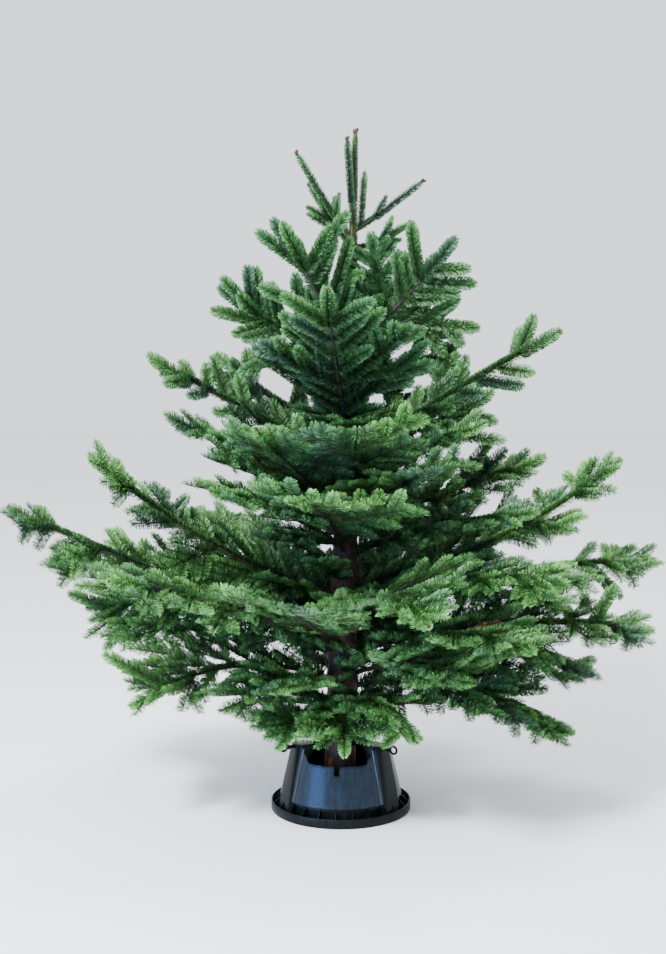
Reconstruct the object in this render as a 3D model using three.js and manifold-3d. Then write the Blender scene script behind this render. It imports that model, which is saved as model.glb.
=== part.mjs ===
// A cut fir tree, about six feet tall, clamped in a moulded water-holding stand.
// Millimetres, +Z up. The origin is the middle of the stand's flat underside and -Y is the front.
import * as THREE from "three";
import { mergeVertices } from "three/addons/utils/BufferGeometryUtils.js";
import { ConvexGeometry } from "three/addons/geometries/ConvexGeometry.js";
import Module from "manifold-3d";

const wasm = await Module();
wasm.setup();

const GAP = 0.3; // between pieces that touch
const UP = new THREE.Vector3(0, 0, 1);

// ---- Stand ----
const TRAY = { radius: 190, height: 26, wall: 4, floor: 6, foot: 2 };
// The cone stands on a plinth, whose top edge is a ledge inside the cone's foot.
const PLINTH = { radius: 158, height: 43 };
const CONE = { footRadius: 165, topRadius: 131, height: 194, wall: 4, sides: 36 };
const STAND_TURN = -4.8; // degrees, the front panel's notch from straight ahead
const PANEL = {
  sill: 155, halfWidth: 81, topHalfWidth: 100, corner: 10, notchWidth: 14, notchDepth: 24,
};
const LOBE_TOP = [[138, 19], [108, 27], [88, 22]]; // radial and tangential distances
const LOBE_FOOT = [[176, 30], [160, 38], [146, 38]];
const SCREW = { height: 187, radius: 5, clearance: 0.5, sides: 8 };
const SCREW_EYE = { middle: 170, radius: 10, wire: 3, collar: 6.5, collarLength: 8 };
const SCREW_PAD = { radius: 9, length: 5 };

// ---- Trunk ----
const TRUNK = { foot: TRAY.floor + GAP, sides: 14, footX: -5, lean: 0.0232 };
// Height above the foot and radius: a slight flare, an even taper, a slender leader and its bud.
const TRUNK_TAPER = [
  [0, 47], [30, 44.5], [120, 42.5], [300, 40], [600, 34], [900, 27], [1200, 18.5],
  [1430, 11], [1550, 7], [1790, 3.6], [1800, 6], [1808, 6], [1816, 2.5],
];

// ---- Boughs, from the foot of the crown to its top ----
// height: where it leaves the trunk; azimuth: degrees, 0 right, 90 back, 180 left, 270 front;
// reach and rise: how far out and up its tip is; bow: how far its middle stands above a straight
// line, as a part of the reach; roll: turn of its flat spray about its own line, degrees; spread:
// longest side branch as a part of its length; years: growth sections; bare: sections near the
// trunk without side branches; limb: a bough with bare wood.
const BOUGH_FIELDS = [
  "name", "height", "azimuth", "reach", "rise", "bow", "roll", "spread", "years", "bare", "limb",
];
const BOUGH_ROWS = [
  ["low_front", 300, 271, 330, -65, 0.12, 0, 0.62, 4, 1],
  ["low_front_left", 296, 237, 310, -60, 0.12, 0, 0.6, 3, 0],
  ["low_front_right", 310, 303, 355, -50, 0.12, 0, 0.6, 4, 1],
  ["skirt_right", 335, 346, 630, -95, 0.1, 18, 0.44, 6, 2],
  ["skirt_left", 345, 203, 600, -5, 0.13, -28, 0.55, 5, 1],
  ["skirt_front", 350, 228, 460, 0, 0.08, 0, 0.5, 4, 1],
  ["skirt_front_right", 360, 306, 540, 85, 0.08, 0, 0.5, 5, 1],
  ["long_left", 430, 187.5, 890, 410, 0.0, -26, 0.32, 7, 2, "limb"],
  ["left_back", 476, 168, 735, 35, 0.07, -34, 0.48, 6, 2],
  ["left_front", 425, 221, 755, 280, 0.05, -26, 0.46, 6, 2, "limb"],
  ["near_left", 432, 250, 640, 245, 0.05, -12, 0.45, 5, 1],
  ["near_right", 440, 317, 640, 90, 0.06, 14, 0.5, 5, 1],
  ["long_right", 425, 351, 830, 90, 0.06, 30, 0.4, 7, 2, "limb"],
  ["right_back", 400, 13, 720, -65, 0.1, 30, 0.46, 6, 2],
  ["low_back_right", 420, 58, 690, 130, 0.08, 0, 0.5, 5, 1],
  ["low_back", 410, 98, 690, 110, 0.08, 0, 0.5, 5, 1],
  ["low_back_left", 430, 132, 700, 140, 0.08, 0, 0.5, 5, 1],
  ["mid_left", 520, 178, 800, 165, 0.03, -30, 0.38, 6, 1],
  ["rising_left", 590, 190, 680, 395, -0.09, -36, 0.34, 6, 1],
  ["mid_right", 515, 2, 845, 160, 0.05, 30, 0.34, 6, 1],
  ["rising_right", 620, 354, 735, 345, -0.09, 40, 0.34, 6, 1],
  ["behind_right", 600, 15, 690, 185, 0.0, 26, 0.36, 5, 1],
  ["front_right", 520, 285, 725, 125, 0.09, 8, 0.4, 5, 1],
  ["side_right", 560, 328, 660, 120, 0.06, 20, 0.4, 5, 1],
  ["back_right", 580, 50, 640, 210, 0.05, 0, 0.5, 5, 1],
  ["back_left", 560, 147, 640, 200, 0.05, 0, 0.5, 5, 1],
  ["front", 700, 260, 615, 215, 0.06, 0, 0.5, 5, 1],
  ["front_left", 715, 228, 500, 200, 0.05, -16, 0.48, 5, 1],
  ["front_left_upper", 790, 241, 470, 275, 0.02, 0, 0.62, 4, 0],
  ["near_right_upper", 760, 293, 485, 200, 0.06, 0, 0.5, 4, 1],
  ["right_lower", 700, 336, 540, 140, 0.03, 24, 0.42, 5, 1],
  ["left_upper", 790, 200, 490, 295, 0.03, -26, 0.42, 5, 1],
  ["right_mid", 770, 10, 560, 180, 0.0, 26, 0.4, 5, 1],
  ["back_mid", 740, 110, 540, 230, 0.04, 0, 0.5, 4, 1],
  ["front_upper", 830, 272, 550, 245, 0.03, 0, 0.55, 4, 0],
  ["right_front_upper", 900, 331, 410, 165, 0.02, 20, 0.5, 4, 0],
  ["high_left", 940, 188, 525, 290, 0.0, -40, 0.36, 5, 1],
  ["high_left_back", 1010, 152, 420, 220, -0.05, -40, 0.5, 4, 1],
  ["high_right", 950, 356, 565, 350, 0.02, 46, 0.4, 5, 1],
  ["upright_right", 1030, 28, 260, 310, -0.3, 60, 0.6, 4, 1],
  ["back_upper", 930, 80, 430, 270, 0.0, 0, 0.5, 4, 1],
  ["crown_front", 1020, 262, 425, 385, -0.02, 0, 0.52, 5, 0],
  ["crown_back_right", 1180, 30, 350, 205, -0.03, 45, 0.6, 3, 0],
  ["crown_left", 1220, 172, 360, 190, -0.04, -68, 0.56, 3, 0],
  ["crown_front_left", 1250, 222, 230, 325, -0.08, 50, 0.6, 3, 0],
  ["crown_right", 1250, 340, 290, 290, -0.06, -70, 0.62, 3, 0],
  ["crown_back", 1170, 100, 340, 260, -0.02, 0, 0.55, 3, 0],
  ["top_left", 1535, 190, 150, 225, -0.08, 0, 0, 1, 0],
  ["top_left_back", 1515, 150, 135, 170, -0.08, -40, 0.5, 2, 0],
  ["top_right", 1556, 3, 185, 135, -0.03, 0, 0, 1, 0],
  ["top_right_front", 1515, 338, 160, 65, -0.1, 30, 0.55, 2, 0],
  ["leader_left", 1556, 242, 35, 240, 0, 0, 0, 1, 0],
];

// ---- Sprays: flat side branches clad in needles ----
const SPRAY = {
  thickness: 5, halfWidth: 12, sideShoot: 0.5, angle: 46, firstShoot: 0.18, nextShoot: 0.21,
  rootDepth: 3,
};
const SHOOTS = { shortest: 55, spacing: 72, most: 3 }; // side shoots a side, by a spray's length
const TOP = { height: 1450, halfWidth: 6.5 }; // above it all shoots are slender and single
const NEIGHBOUR_GAP = 1.2; // kept from every other limb and spray
const TRIM = 0.3; // sliver faces smaller than this are merged after the pieces are fused
const BRANCHING = {
  angle: 50, angleSway: 7, lengthSway: 0.14, lift: 4, liftSway: 8, twist: 16,
  youngest: 0.25, growth: 0.95, lifted: 0.3, heavyBelow: 900,
};
const SHORTER = [1, 0.8, 0.62]; // tried in turn where a spray would meet its neighbours
const LIMB = { base: 3, perLength: 0.0085, tip: 1.7, sides: 7 };
const STEM = { sides: 3, scale: 1.35 }; // of a mass, against the round limb it stands for

// ---- Materials ----
const material = (colour, roughness) =>
  new THREE.MeshStandardMaterial({ color: colour, roughness, metalness: 0 });
const BARK = material(0x3d2c26, 0.9);
const NEEDLES = material(0x2f5a33, 0.65);
const STAND_PLASTIC = material(0x1b2626, 0.38);
const SCREW_PLASTIC = material(0x161d1d, 0.42);

// ---- Shared helpers ----
const radians = THREE.MathUtils.degToRad;

// A three.js geometry as a manifold solid.
function solid(geometry) {
  const bare = geometry.clone();
  bare.deleteAttribute("normal");
  bare.deleteAttribute("uv");
  const merged = mergeVertices(bare, 1e-4);
  const index = merged.index.array;
  const triVerts = [];
  for (let i = 0; i < index.length; i += 3) {
    const [a, b, c] = [index[i], index[i + 1], index[i + 2]];
    if (a !== b && b !== c && c !== a) triVerts.push(a, b, c);
  }
  const vertProperties = merged.attributes.position.array;
  const mesh = new wasm.Mesh({ numProp: 3, vertProperties, triVerts: new Uint32Array(triVerts) });
  mesh.merge();
  return new wasm.Manifold(mesh);
}

// A named three.js mesh of a manifold solid.
function meshOf(name, made, surface) {
  const { numProp, vertProperties, triVerts } = made.getMesh();
  const positions = new Float32Array((vertProperties.length / numProp) * 3);
  for (let i = 0; i < positions.length / 3; i++) {
    positions.set(vertProperties.subarray(i * numProp, i * numProp + 3), i * 3);
  }
  const geometry = new THREE.BufferGeometry();
  geometry.setAttribute("position", new THREE.BufferAttribute(positions, 3));
  geometry.setIndex(new THREE.BufferAttribute(new Uint32Array(triVerts), 1));
  geometry.computeVertexNormals();
  const mesh = new THREE.Mesh(geometry, surface);
  mesh.name = name;
  return mesh;
}

// A solid of revolution about Z from [radius, height] pairs that start and end on the axis.
function turned(profile, sides) {
  const points = profile.map(([r, z]) => new THREE.Vector2(r, z));
  return new THREE.LatheGeometry(points, sides).rotateX(Math.PI / 2);
}

// A repeatable number between 0 and 1 for each seed and count.
function chance(seed, count) {
  let mixed = Math.imul(seed ^ 0x9e3779b9, 0x85ebca6b) + Math.imul(count + 1, 0xc2b2ae35);
  mixed = Math.imul(mixed ^ (mixed >>> 15), 0x2c1b3c6d);
  mixed = Math.imul(mixed ^ (mixed >>> 12), 0x297a2d39);
  return ((mixed ^ (mixed >>> 15)) >>> 0) / 4294967296;
}

// A repeatable number between -1 and 1.
const sway = (seed, count) => 2 * chance(seed, count) - 1;

// ---- Trunk ----
function trunkCentre(height) {
  return new THREE.Vector3(TRUNK.footX + TRUNK.lean * (height - TRUNK.foot), 0, height);
}

function trunkRadius(height) {
  const above = height - TRUNK.foot;
  const next = Math.max(1, TRUNK_TAPER.findIndex(([z]) => z > above));
  const [lowZ, lowR] = TRUNK_TAPER[next - 1];
  const [highZ, highR] = TRUNK_TAPER[next];
  return THREE.MathUtils.mapLinear(above, lowZ, highZ, lowR, highR);
}

// The trunk, or with a margin the space that other pieces keep clear of.
function trunkSolid(margin) {
  const grown = TRUNK_TAPER.map(([z, r]) => [r + margin * 1.03, z]);
  const height = grown[grown.length - 1][1];
  const profile = [[0, -margin], [grown[0][0], -margin], ...grown.slice(1), [0, height + margin]];
  const geometry = turned(profile, TRUNK.sides);
  const position = geometry.attributes.position;
  for (let i = 0; i < position.count; i++) {
    position.setX(i, position.getX(i) + TRUNK.footX + TRUNK.lean * position.getZ(i));
  }
  geometry.translate(0, 0, TRUNK.foot);
  return solid(geometry);
}

const trunk = trunkSolid(0);
const trunkSpace = trunkSolid(GAP);

// ---- Stand ----
// A point at a radial and tangential distance about an azimuth measured from the front.
function standPoint(azimuth, radial, tangential, height) {
  const a = radians(azimuth - 90);
  const x = radial * Math.cos(a) - tangential * Math.sin(a);
  const y = radial * Math.sin(a) + tangential * Math.cos(a);
  return new THREE.Vector3(x, y, height);
}

// A block that runs out along an azimuth: its outline is tangential distance and height.
function radialPrism(outline, azimuth, inner, outer) {
  const geometry = new THREE.ExtrudeGeometry(outline, { depth: outer - inner, bevelEnabled: false });
  geometry.translate(0, 0, inner);
  const a = radians(azimuth - 90);
  const tangent = new THREE.Vector3(-Math.sin(a), Math.cos(a), 0);
  const outward = new THREE.Vector3(Math.cos(a), Math.sin(a), 0);
  geometry.applyMatrix4(new THREE.Matrix4().makeBasis(tangent, UP, outward));
  return solid(geometry);
}

function rectangle(left, bottom, right, top) {
  const shape = new THREE.Shape();
  shape.moveTo(left, bottom).lineTo(right, bottom).lineTo(right, top).lineTo(left, top);
  shape.closePath();
  return shape;
}

// The opening above a low panel: a straight sill, rounded lower corners and sides that spread.
function panelOpening() {
  const { sill, halfWidth, topHalfWidth, corner } = PANEL;
  const top = CONE.height + 1;
  const lower = halfWidth + (corner * (topHalfWidth - halfWidth)) / (top - sill);
  const shape = new THREE.Shape();
  shape.moveTo(-topHalfWidth, top).lineTo(-lower, sill + corner);
  shape.quadraticCurveTo(-halfWidth, sill, corner - halfWidth, sill);
  shape.lineTo(halfWidth - corner, sill);
  shape.quadraticCurveTo(halfWidth, sill, lower, sill + corner);
  shape.lineTo(topHalfWidth, top).closePath();
  return shape;
}

function lobe(azimuth) {
  const corners = [];
  for (const side of [-1, 1]) {
    for (const [r, t] of LOBE_TOP) corners.push(standPoint(azimuth, r, side * t, CONE.height));
    for (const [r, t] of LOBE_FOOT) corners.push(standPoint(azimuth, r, side * t, TRAY.floor - 2));
  }
  return solid(new ConvexGeometry(corners));
}

// A round bar from inner to outer distance along an azimuth at the screws' height.
function radialBar(azimuth, radius, inner, outer) {
  const geometry = new THREE.CylinderGeometry(radius, radius, outer - inner, SCREW.sides);
  geometry.translate(0, -(inner + outer) / 2, 0).rotateZ(radians(azimuth));
  return solid(geometry.translate(0, 0, SCREW.height));
}

function standSolid() {
  const { radius, height, wall, floor, foot } = TRAY;
  const { footRadius, topRadius } = CONE;
  let made = solid(turned([
    [0, 0], [radius - foot, 0], [radius, foot], [radius, height], [radius - wall, height],
    [radius - wall - foot, floor], [PLINTH.radius, floor], [PLINTH.radius, PLINTH.height],
    [footRadius, PLINTH.height], [topRadius, CONE.height], [topRadius - CONE.wall, CONE.height],
    [PLINTH.radius - CONE.wall, PLINTH.height], [PLINTH.radius - CONE.wall, floor], [0, floor],
  ], CONE.sides));
  const notchHalf = PANEL.notchWidth / 2;
  const notch = rectangle(-notchHalf, PANEL.sill - PANEL.notchDepth, notchHalf, PANEL.sill + 5);
  for (let i = 0; i < 3; i++) {
    const azimuth = STAND_TURN + 120 * i;
    made = made.subtract(radialPrism(panelOpening(), azimuth, 60, radius));
    made = made.subtract(radialPrism(notch, azimuth, 60, radius));
  }
  for (let i = 0; i < 3; i++) {
    const azimuth = STAND_TURN + 60 + 120 * i;
    made = made.add(lobe(azimuth));
    made = made.subtract(radialBar(azimuth, SCREW.radius + SCREW.clearance, 80, radius));
  }
  return made;
}

function screwSolid(azimuth) {
  const shaftEnd = SCREW_EYE.middle - SCREW_EYE.radius;
  const eye = new THREE.TorusGeometry(SCREW_EYE.radius, SCREW_EYE.wire, 4, 10);
  eye.rotateY(Math.PI / 2).translate(0, -SCREW_EYE.middle, 0).rotateZ(radians(azimuth));
  eye.translate(0, 0, SCREW.height);
  const padEnd = trunkRadius(SCREW.height) + SCREW_PAD.length;
  const collarStart = shaftEnd - SCREW_EYE.collarLength;
  return radialBar(azimuth, SCREW.radius, 20, shaftEnd)
    .add(radialBar(azimuth, SCREW_PAD.radius, 20, padEnd))
    .add(radialBar(azimuth, SCREW_EYE.collar, collarStart, shaftEnd))
    .add(solid(eye))
    .subtract(trunkSpace);
}

// ---- Boughs ----
// The line of a bough, from the middle of the trunk to its tip, and the frame of its flat spray.
class BoughLine {
  constructor(bough) {
    const azimuth = radians(bough.azimuth);
    const root = trunkCentre(bough.height);
    const outward = new THREE.Vector3(Math.cos(azimuth), Math.sin(azimuth), 0);
    const tip = root.clone().addScaledVector(outward, bough.reach).addScaledVector(UP, bough.rise);
    const middle = root.clone().lerp(tip, 0.5).addScaledVector(UP, 2 * bough.bow * bough.reach);
    this.curve = new THREE.QuadraticBezierCurve3(root, middle, tip);
    this.length = this.curve.getLength();
    this.sideways = new THREE.Vector3(-Math.sin(azimuth), Math.cos(azimuth), 0);
    this.roll = radians(bough.roll);
    this.lifted = bough.height < BRANCHING.heavyBelow ? BRANCHING.lifted : 1;
    this.base = LIMB.base + LIMB.perLength * this.length;
  }

  radius(t) {
    return this.base + (LIMB.tip - this.base) * t;
  }

  // The frame of the spray at a part of the line. On the heavy lower boughs the side that the
  // roll lifts is turned less.
  frame(t, hand = 0) {
    const along = this.curve.getTangent(t);
    const roll = hand * this.roll > 0 ? this.roll * this.lifted : this.roll;
    const side = this.sideways.clone().applyAxisAngle(along, roll);
    return { point: this.curve.getPoint(t), along, side, up: along.clone().cross(side) };
  }
}

// A tapering limb with the given number of sides through places along a bough's line.
function limbSolid(line, places, sides, scale) {
  const rings = places.map((t) => [line.radius(t) * scale, t]);
  const profile = [[0, places[0]], ...rings, [0, places[places.length - 1]]];
  const geometry = turned(profile, sides);
  const position = geometry.attributes.position;
  const moved = new THREE.Vector3();
  for (let i = 0; i < position.count; i++) {
    const { point, side, up } = line.frame(position.getZ(i));
    moved.copy(point).addScaledVector(side, position.getX(i)).addScaledVector(up, position.getY(i));
    position.setXYZ(i, moved.x, moved.y, moved.z);
  }
  const made = solid(geometry);
  return made.volume() < 0 ? solid(turnedInsideOut(geometry)) : made;
}

function turnedInsideOut(geometry) {
  const index = geometry.index.array;
  for (let i = 0; i < index.length; i += 3) {
    [index[i + 1], index[i + 2]] = [index[i + 2], index[i + 1]];
  }
  return geometry;
}

// The toothed outline of a spray that lies along +X: each tooth is one side shoot. Its points are
// [x, y, half thickness], and the root, the teeth and the tip come to a sharp edge.
function sprayEdge(length, halfWidth) {
  const { sideShoot, angle, firstShoot, nextShoot, thickness } = SPRAY;
  const wanted = Math.round((length - SHOOTS.shortest) / SHOOTS.spacing);
  const most = halfWidth === TOP.halfWidth ? 0 : SHOOTS.most;
  const teeth = THREE.MathUtils.clamp(wanted, 0, most);
  const forward = Math.cos(radians(angle));
  const outward = Math.sin(radians(angle));
  const start = (i) => length * (firstShoot + nextShoot * i);
  const edge = [];
  for (let i = 0; i < teeth; i++) {
    const shoot = sideShoot * (length - start(i)) + 10;
    edge.push([start(i), halfWidth, thickness / 2]);
    edge.push([start(i) + shoot * forward, halfWidth + shoot * outward, 0]);
  }
  if (teeth === 0) edge.push([start(0), halfWidth, thickness / 2]);
  edge.push([teeth ? start(teeth) : start(3), halfWidth, thickness / 2]);
  const mirrored = edge.map(([x, y, t]) => [x, -y, t]);
  return [[-SPRAY.rootDepth, 0, 0], ...mirrored, [length, 0, 0], ...edge.reverse()];
}

// A toothed blade of needles from a point of a bough's stem, in a direction, facing up.
function spraySolid({ point, direction, up, halfWidth }, length) {
  const edge = sprayEdge(length, halfWidth);
  const shape = new THREE.Shape(edge.map(([x, y]) => new THREE.Vector2(x, y)));
  const geometry = new THREE.ExtrudeGeometry(shape, { depth: 1, bevelEnabled: false });
  const position = geometry.attributes.position;
  for (let i = 0; i < position.count; i++) {
    const [x, y] = [position.getX(i), position.getY(i)];
    const [, , half] = edge.find((p) => Math.hypot(p[0] - x, p[1] - y) < 1e-3);
    position.setZ(i, position.getZ(i) > 0.5 ? half : -half);
  }
  const across = up.clone().cross(direction).normalize();
  const normal = direction.clone().cross(across);
  geometry.applyMatrix4(new THREE.Matrix4().makeBasis(direction, across, normal));
  return solid(geometry.translate(point.x, point.y, point.z));
}

// Where a bough's last growth section starts.
const lastNode = (bough) => (bough.years > 1 ? 1 - 1 / bough.years : 0.3);

// Where its side branches leave it, as parts of its length.
function branchNodes(bough) {
  const nodes = [];
  for (let node = bough.bare + 1; node < bough.years; node++) nodes.push(node / bough.years);
  return nodes;
}

// The side branches of a bough: one pair at each year's node, younger and shorter to the tip.
function sideBranches(bough, line) {
  const branches = [];
  const halfWidth = bough.height > TOP.height ? TOP.halfWidth : SPRAY.halfWidth;
  for (const [count, node] of branchNodes(bough).entries()) {
    for (const hand of [-1, 1]) {
      const { point, along, side, up } = line.frame(node, hand);
      const seed = bough.seed + count * 16 + (hand + 1) * 4;
      const age = 1 - node;
      const angle = radians(BRANCHING.angle + BRANCHING.angleSway * sway(seed, 0));
      const full = bough.spread * line.length * (BRANCHING.youngest + BRANCHING.growth * age);
      const lift = radians(BRANCHING.lift + BRANCHING.liftSway * sway(seed, 2));
      const direction = along.clone().multiplyScalar(Math.cos(angle));
      direction.addScaledVector(side, hand * Math.sin(angle));
      direction.addScaledVector(up, Math.tan(lift)).normalize();
      const length = full * (1 + BRANCHING.lengthSway * sway(seed, 1));
      const twist = radians(BRANCHING.twist * sway(seed, 3));
      const face = up.clone().applyAxisAngle(direction, twist);
      branches.push({ point, direction, up: face, length, halfWidth });
    }
  }
  const last = line.frame(lastNode(bough));
  const tip = line.curve.getPoint(1).sub(last.point);
  const length = tip.length();
  branches.push({ point: last.point, direction: tip.normalize(), up: last.up, length, halfWidth });
  return branches;
}

// ---- Crown: limbs first, then the sprays that keep clear of every limb and neighbour ----
const standBody = standSolid();
const screws = [0, 1, 2].map((i) => screwSolid(STAND_TURN + 60 + 120 * i));

const touches = (a, b) => {
  const [p, q] = [a.boundingBox(), b.boundingBox()];
  const apart = [0, 1, 2].some((k) => p.min[k] > q.max[k] + 2 || q.min[k] > p.max[k] + 2);
  return !apart && a.minGap(b, 2) < NEIGHBOUR_GAP;
};

function grownCrown() {
  const boughs = BOUGH_ROWS.map((row, index) => {
    const bough = Object.fromEntries(BOUGH_FIELDS.map((field, i) => [field, row[i]]));
    return { ...bough, seed: 1000 * (index + 1) };
  });
  const fixed = [standBody, ...screws, trunkSpace];
  const grown = boughs.map((bough) => {
    const line = new BoughLine(bough);
    const entry = bough.limb ? (bough.bare + 0.6) / bough.years : 0;
    const start = entry ? entry + GAP / line.length : 0;
    const places = [start, ...branchNodes(bough).slice(0, -1), lastNode(bough) + 0.02];
    const mass = limbSolid(line, places, STEM.sides, STEM.scale);
    const limbPlaces = [0, entry / 3, (2 * entry) / 3, entry];
    const limb = entry ? limbSolid(line, limbPlaces, LIMB.sides, 1).subtract(trunkSpace) : null;
    return { bough, line, limb, mass };
  });
  for (const one of grown) {
    const others = grown.filter((other) => other !== one);
    const around = others.flatMap((other) => [other.mass, other.limb]);
    const taken = [...fixed, ...around, one.limb].filter(Boolean);
    for (const branch of sideBranches(one.bough, one.line)) {
      for (const part of SHORTER) {
        const spray = spraySolid(branch, branch.length * part);
        if (taken.some((other) => touches(spray, other))) continue;
        one.mass = one.mass.add(spray);
        break;
      }
    }
    one.mass = one.mass.asOriginal().simplify(TRIM);
  }
  for (const one of grown) one.mass = one.mass.subtract(trunkSpace);
  return grown;
}

// ---- The whole tree ----
const tree = new THREE.Group();
tree.add(meshOf("stand", standBody, STAND_PLASTIC));
screws.forEach((screw, i) => tree.add(meshOf("clamp_screw_" + (i + 1), screw, SCREW_PLASTIC)));
tree.add(meshOf("trunk", trunk, BARK));
for (const { bough, limb, mass } of grownCrown()) {
  if (limb) tree.add(meshOf("bough_" + bough.name, limb, BARK));
  tree.add(meshOf("mass_" + bough.name, mass, NEEDLES));
}

export default tree;
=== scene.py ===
"""A cut fir tree, about six feet tall and undecorated, clamped in a moulded water-holding stand.

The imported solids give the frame. The stand, its screws, the bark and every needle-clad shoot are
made here, in metres and in the same frame: the stand stands on z = 0 and -Y is its front.
"""

import logging
import math
from collections.abc import Iterable, Sequence
from dataclasses import dataclass, field
from enum import Enum

import bmesh
import bpy
import numpy as np
from bpy.types import ID, Material, Node, NodeOutputs, NodeSocket, NodeTree, Object
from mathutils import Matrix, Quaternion, Vector, noise


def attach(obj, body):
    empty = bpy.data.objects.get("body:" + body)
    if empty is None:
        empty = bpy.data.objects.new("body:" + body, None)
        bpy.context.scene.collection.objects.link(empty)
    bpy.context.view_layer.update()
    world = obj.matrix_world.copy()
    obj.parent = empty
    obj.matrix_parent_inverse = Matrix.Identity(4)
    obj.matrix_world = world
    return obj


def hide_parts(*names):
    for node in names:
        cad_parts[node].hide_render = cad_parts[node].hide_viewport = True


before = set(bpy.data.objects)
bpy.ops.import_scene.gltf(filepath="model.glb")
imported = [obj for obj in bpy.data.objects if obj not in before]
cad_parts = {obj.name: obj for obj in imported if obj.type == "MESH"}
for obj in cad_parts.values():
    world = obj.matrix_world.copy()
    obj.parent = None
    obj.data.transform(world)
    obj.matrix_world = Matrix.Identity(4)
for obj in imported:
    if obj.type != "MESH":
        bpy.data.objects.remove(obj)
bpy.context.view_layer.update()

LOG = logging.getLogger("fir")
MM = 0.001
UP = Vector((0.0, 0.0, 1.0))


# ---- Colours, nodes and finishes ----

MATH = "ShaderNodeMath"
VECTORS = "ShaderNodeVectorMath"
ATTRIBUTE = "GeometryNodeInputNamedAttribute"


def linear(hex_colour: str) -> tuple[float, float, float, float]:
    """Turns an sRGB hex colour to linear light.

    Args:
        hex_colour: Six hex digits, with or without a leading hash.

    Returns:
        Red, green and blue from 0 to 1, and a full alpha.
    """
    digits = hex_colour.lstrip("#")
    parts = [int(digits[i : i + 2], 16) / 255 for i in (0, 2, 4)]
    out = [c / 12.92 if c <= 0.04045 else ((c + 0.055) / 1.055) ** 2.4 for c in parts]
    return (out[0], out[1], out[2], 1.0)


def set_inputs(tree: NodeTree, node: Node, inputs: dict[int | str, object]) -> None:
    """Sets or links a node's inputs.

    Args:
        tree: The node's tree.
        node: The node.
        inputs: By place or name, a constant, an output socket, or a node for its first output.
    """
    for place, value in inputs.items():
        source = value.outputs[0] if isinstance(value, Node) else value
        if isinstance(source, NodeSocket):
            tree.links.new(source, node.inputs[place])
        else:
            node.inputs[place].default_value = source


def add_node(
    tree: NodeTree,
    kind: str,
    *inputs: object,
    sockets: dict[int | str, object] | None = None,
    stops: Sequence[tuple[float, Sequence[float]]] = (),
    **settings: object,
) -> Node:
    """Adds one node with its settings and links.

    Args:
        tree: The shader or geometry tree that takes the node.
        kind: The node's type name.
        *inputs: What its first inputs take, as set_inputs reads it.
        sockets: The same for inputs by place or name.
        stops: Place and colour of each stop, on a colour ramp.
        **settings: Properties set on the node itself.

    Returns:
        The new node.
    """
    node = tree.nodes.new(kind)
    for name, value in settings.items():
        setattr(node, name, value)
    set_inputs(tree, node, {**dict(enumerate(inputs)), **(sockets or {})})
    if stops:
        ramp = node.color_ramp.elements
        for stop, (place, colour) in zip(ramp, (stops[0], stops[-1])):
            stop.position, stop.color = place, colour
        for place, colour in stops[1:-1]:
            ramp.new(place).color = colour
    return node


def new_material(name: str, values: dict[int | str, object]) -> tuple[Material, NodeTree, Node]:
    """Makes a material whose shader has some of its own sockets set.

    Args:
        name: The material's name.
        values: The sockets' names and constants.

    Returns:
        The material, its tree and its shader.
    """
    made = bpy.data.materials.new(name)
    made.use_nodes = True
    shader = made.node_tree.nodes["Principled BSDF"]
    set_inputs(made.node_tree, shader, values)
    return made, made.node_tree, shader


@dataclass(frozen=True)
class NeedleFinish:
    """Living conifer needle: a waxy skin, so a soft sheen over a plain green.

    One tone covers a whole spray, as sprays of one tree differ with age and light. Weights say
    how much a needle's own chance, the way to its tip and the newness of its twig lighten it;
    shades are the ramp's places, and what the tone is multiplied by and added to there. The ramp
    paints shade at each needle's foot, where the twig lies in shadow, and a pale painted highlight
    at its tip. The lightening on a twig's newest part is partly painted light on the outer tips.
    """

    name: str
    colour: str
    roughness: float = 0.42
    weights: tuple[tuple[str, float], ...] = (("shade", 0.38), ("along", 0.34), ("newness", 0.38))
    shades: tuple[tuple[float, float, float], ...] = (
        (0.15, 0.2, 0.0), (0.55, 0.74, 0.0), (0.95, 2.15, 0.03),
    )  # fmt: skip

    def material(self) -> Material:
        """Builds the finish: a base colour that drifts a little along the spray, darkened at each
        needle's foot as painted shade and paled at its tip as a painted highlight.

        Returns:
            The material.
        """
        skin = {"Roughness": self.roughness, "IOR": 1.45, "Specular IOR Level": 0.45}
        made, tree, shader = new_material(self.name, skin)
        mixed: object = 0.0
        for name, weight in self.weights:
            value = add_node(tree, "ShaderNodeAttribute", attribute_name=name).outputs["Fac"]
            mixed = add_node(tree, MATH, value, weight, mixed, operation="MULTIPLY_ADD")
        base = linear(self.colour)[:3]
        # Low on the ramp is painted shade at the needles' feet; the top stop, paled with added
        # grey, is a painted highlight at their tips.
        stops = [
            (place, [min(1.0, c * part + more) for c in base] + [1.0])
            for place, part, more in self.shades
        ]
        ramp = add_node(tree, "ShaderNodeValToRGB", mixed, stops=stops)
        set_inputs(tree, shader, {"Base Color": ramp})
        return made


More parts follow.
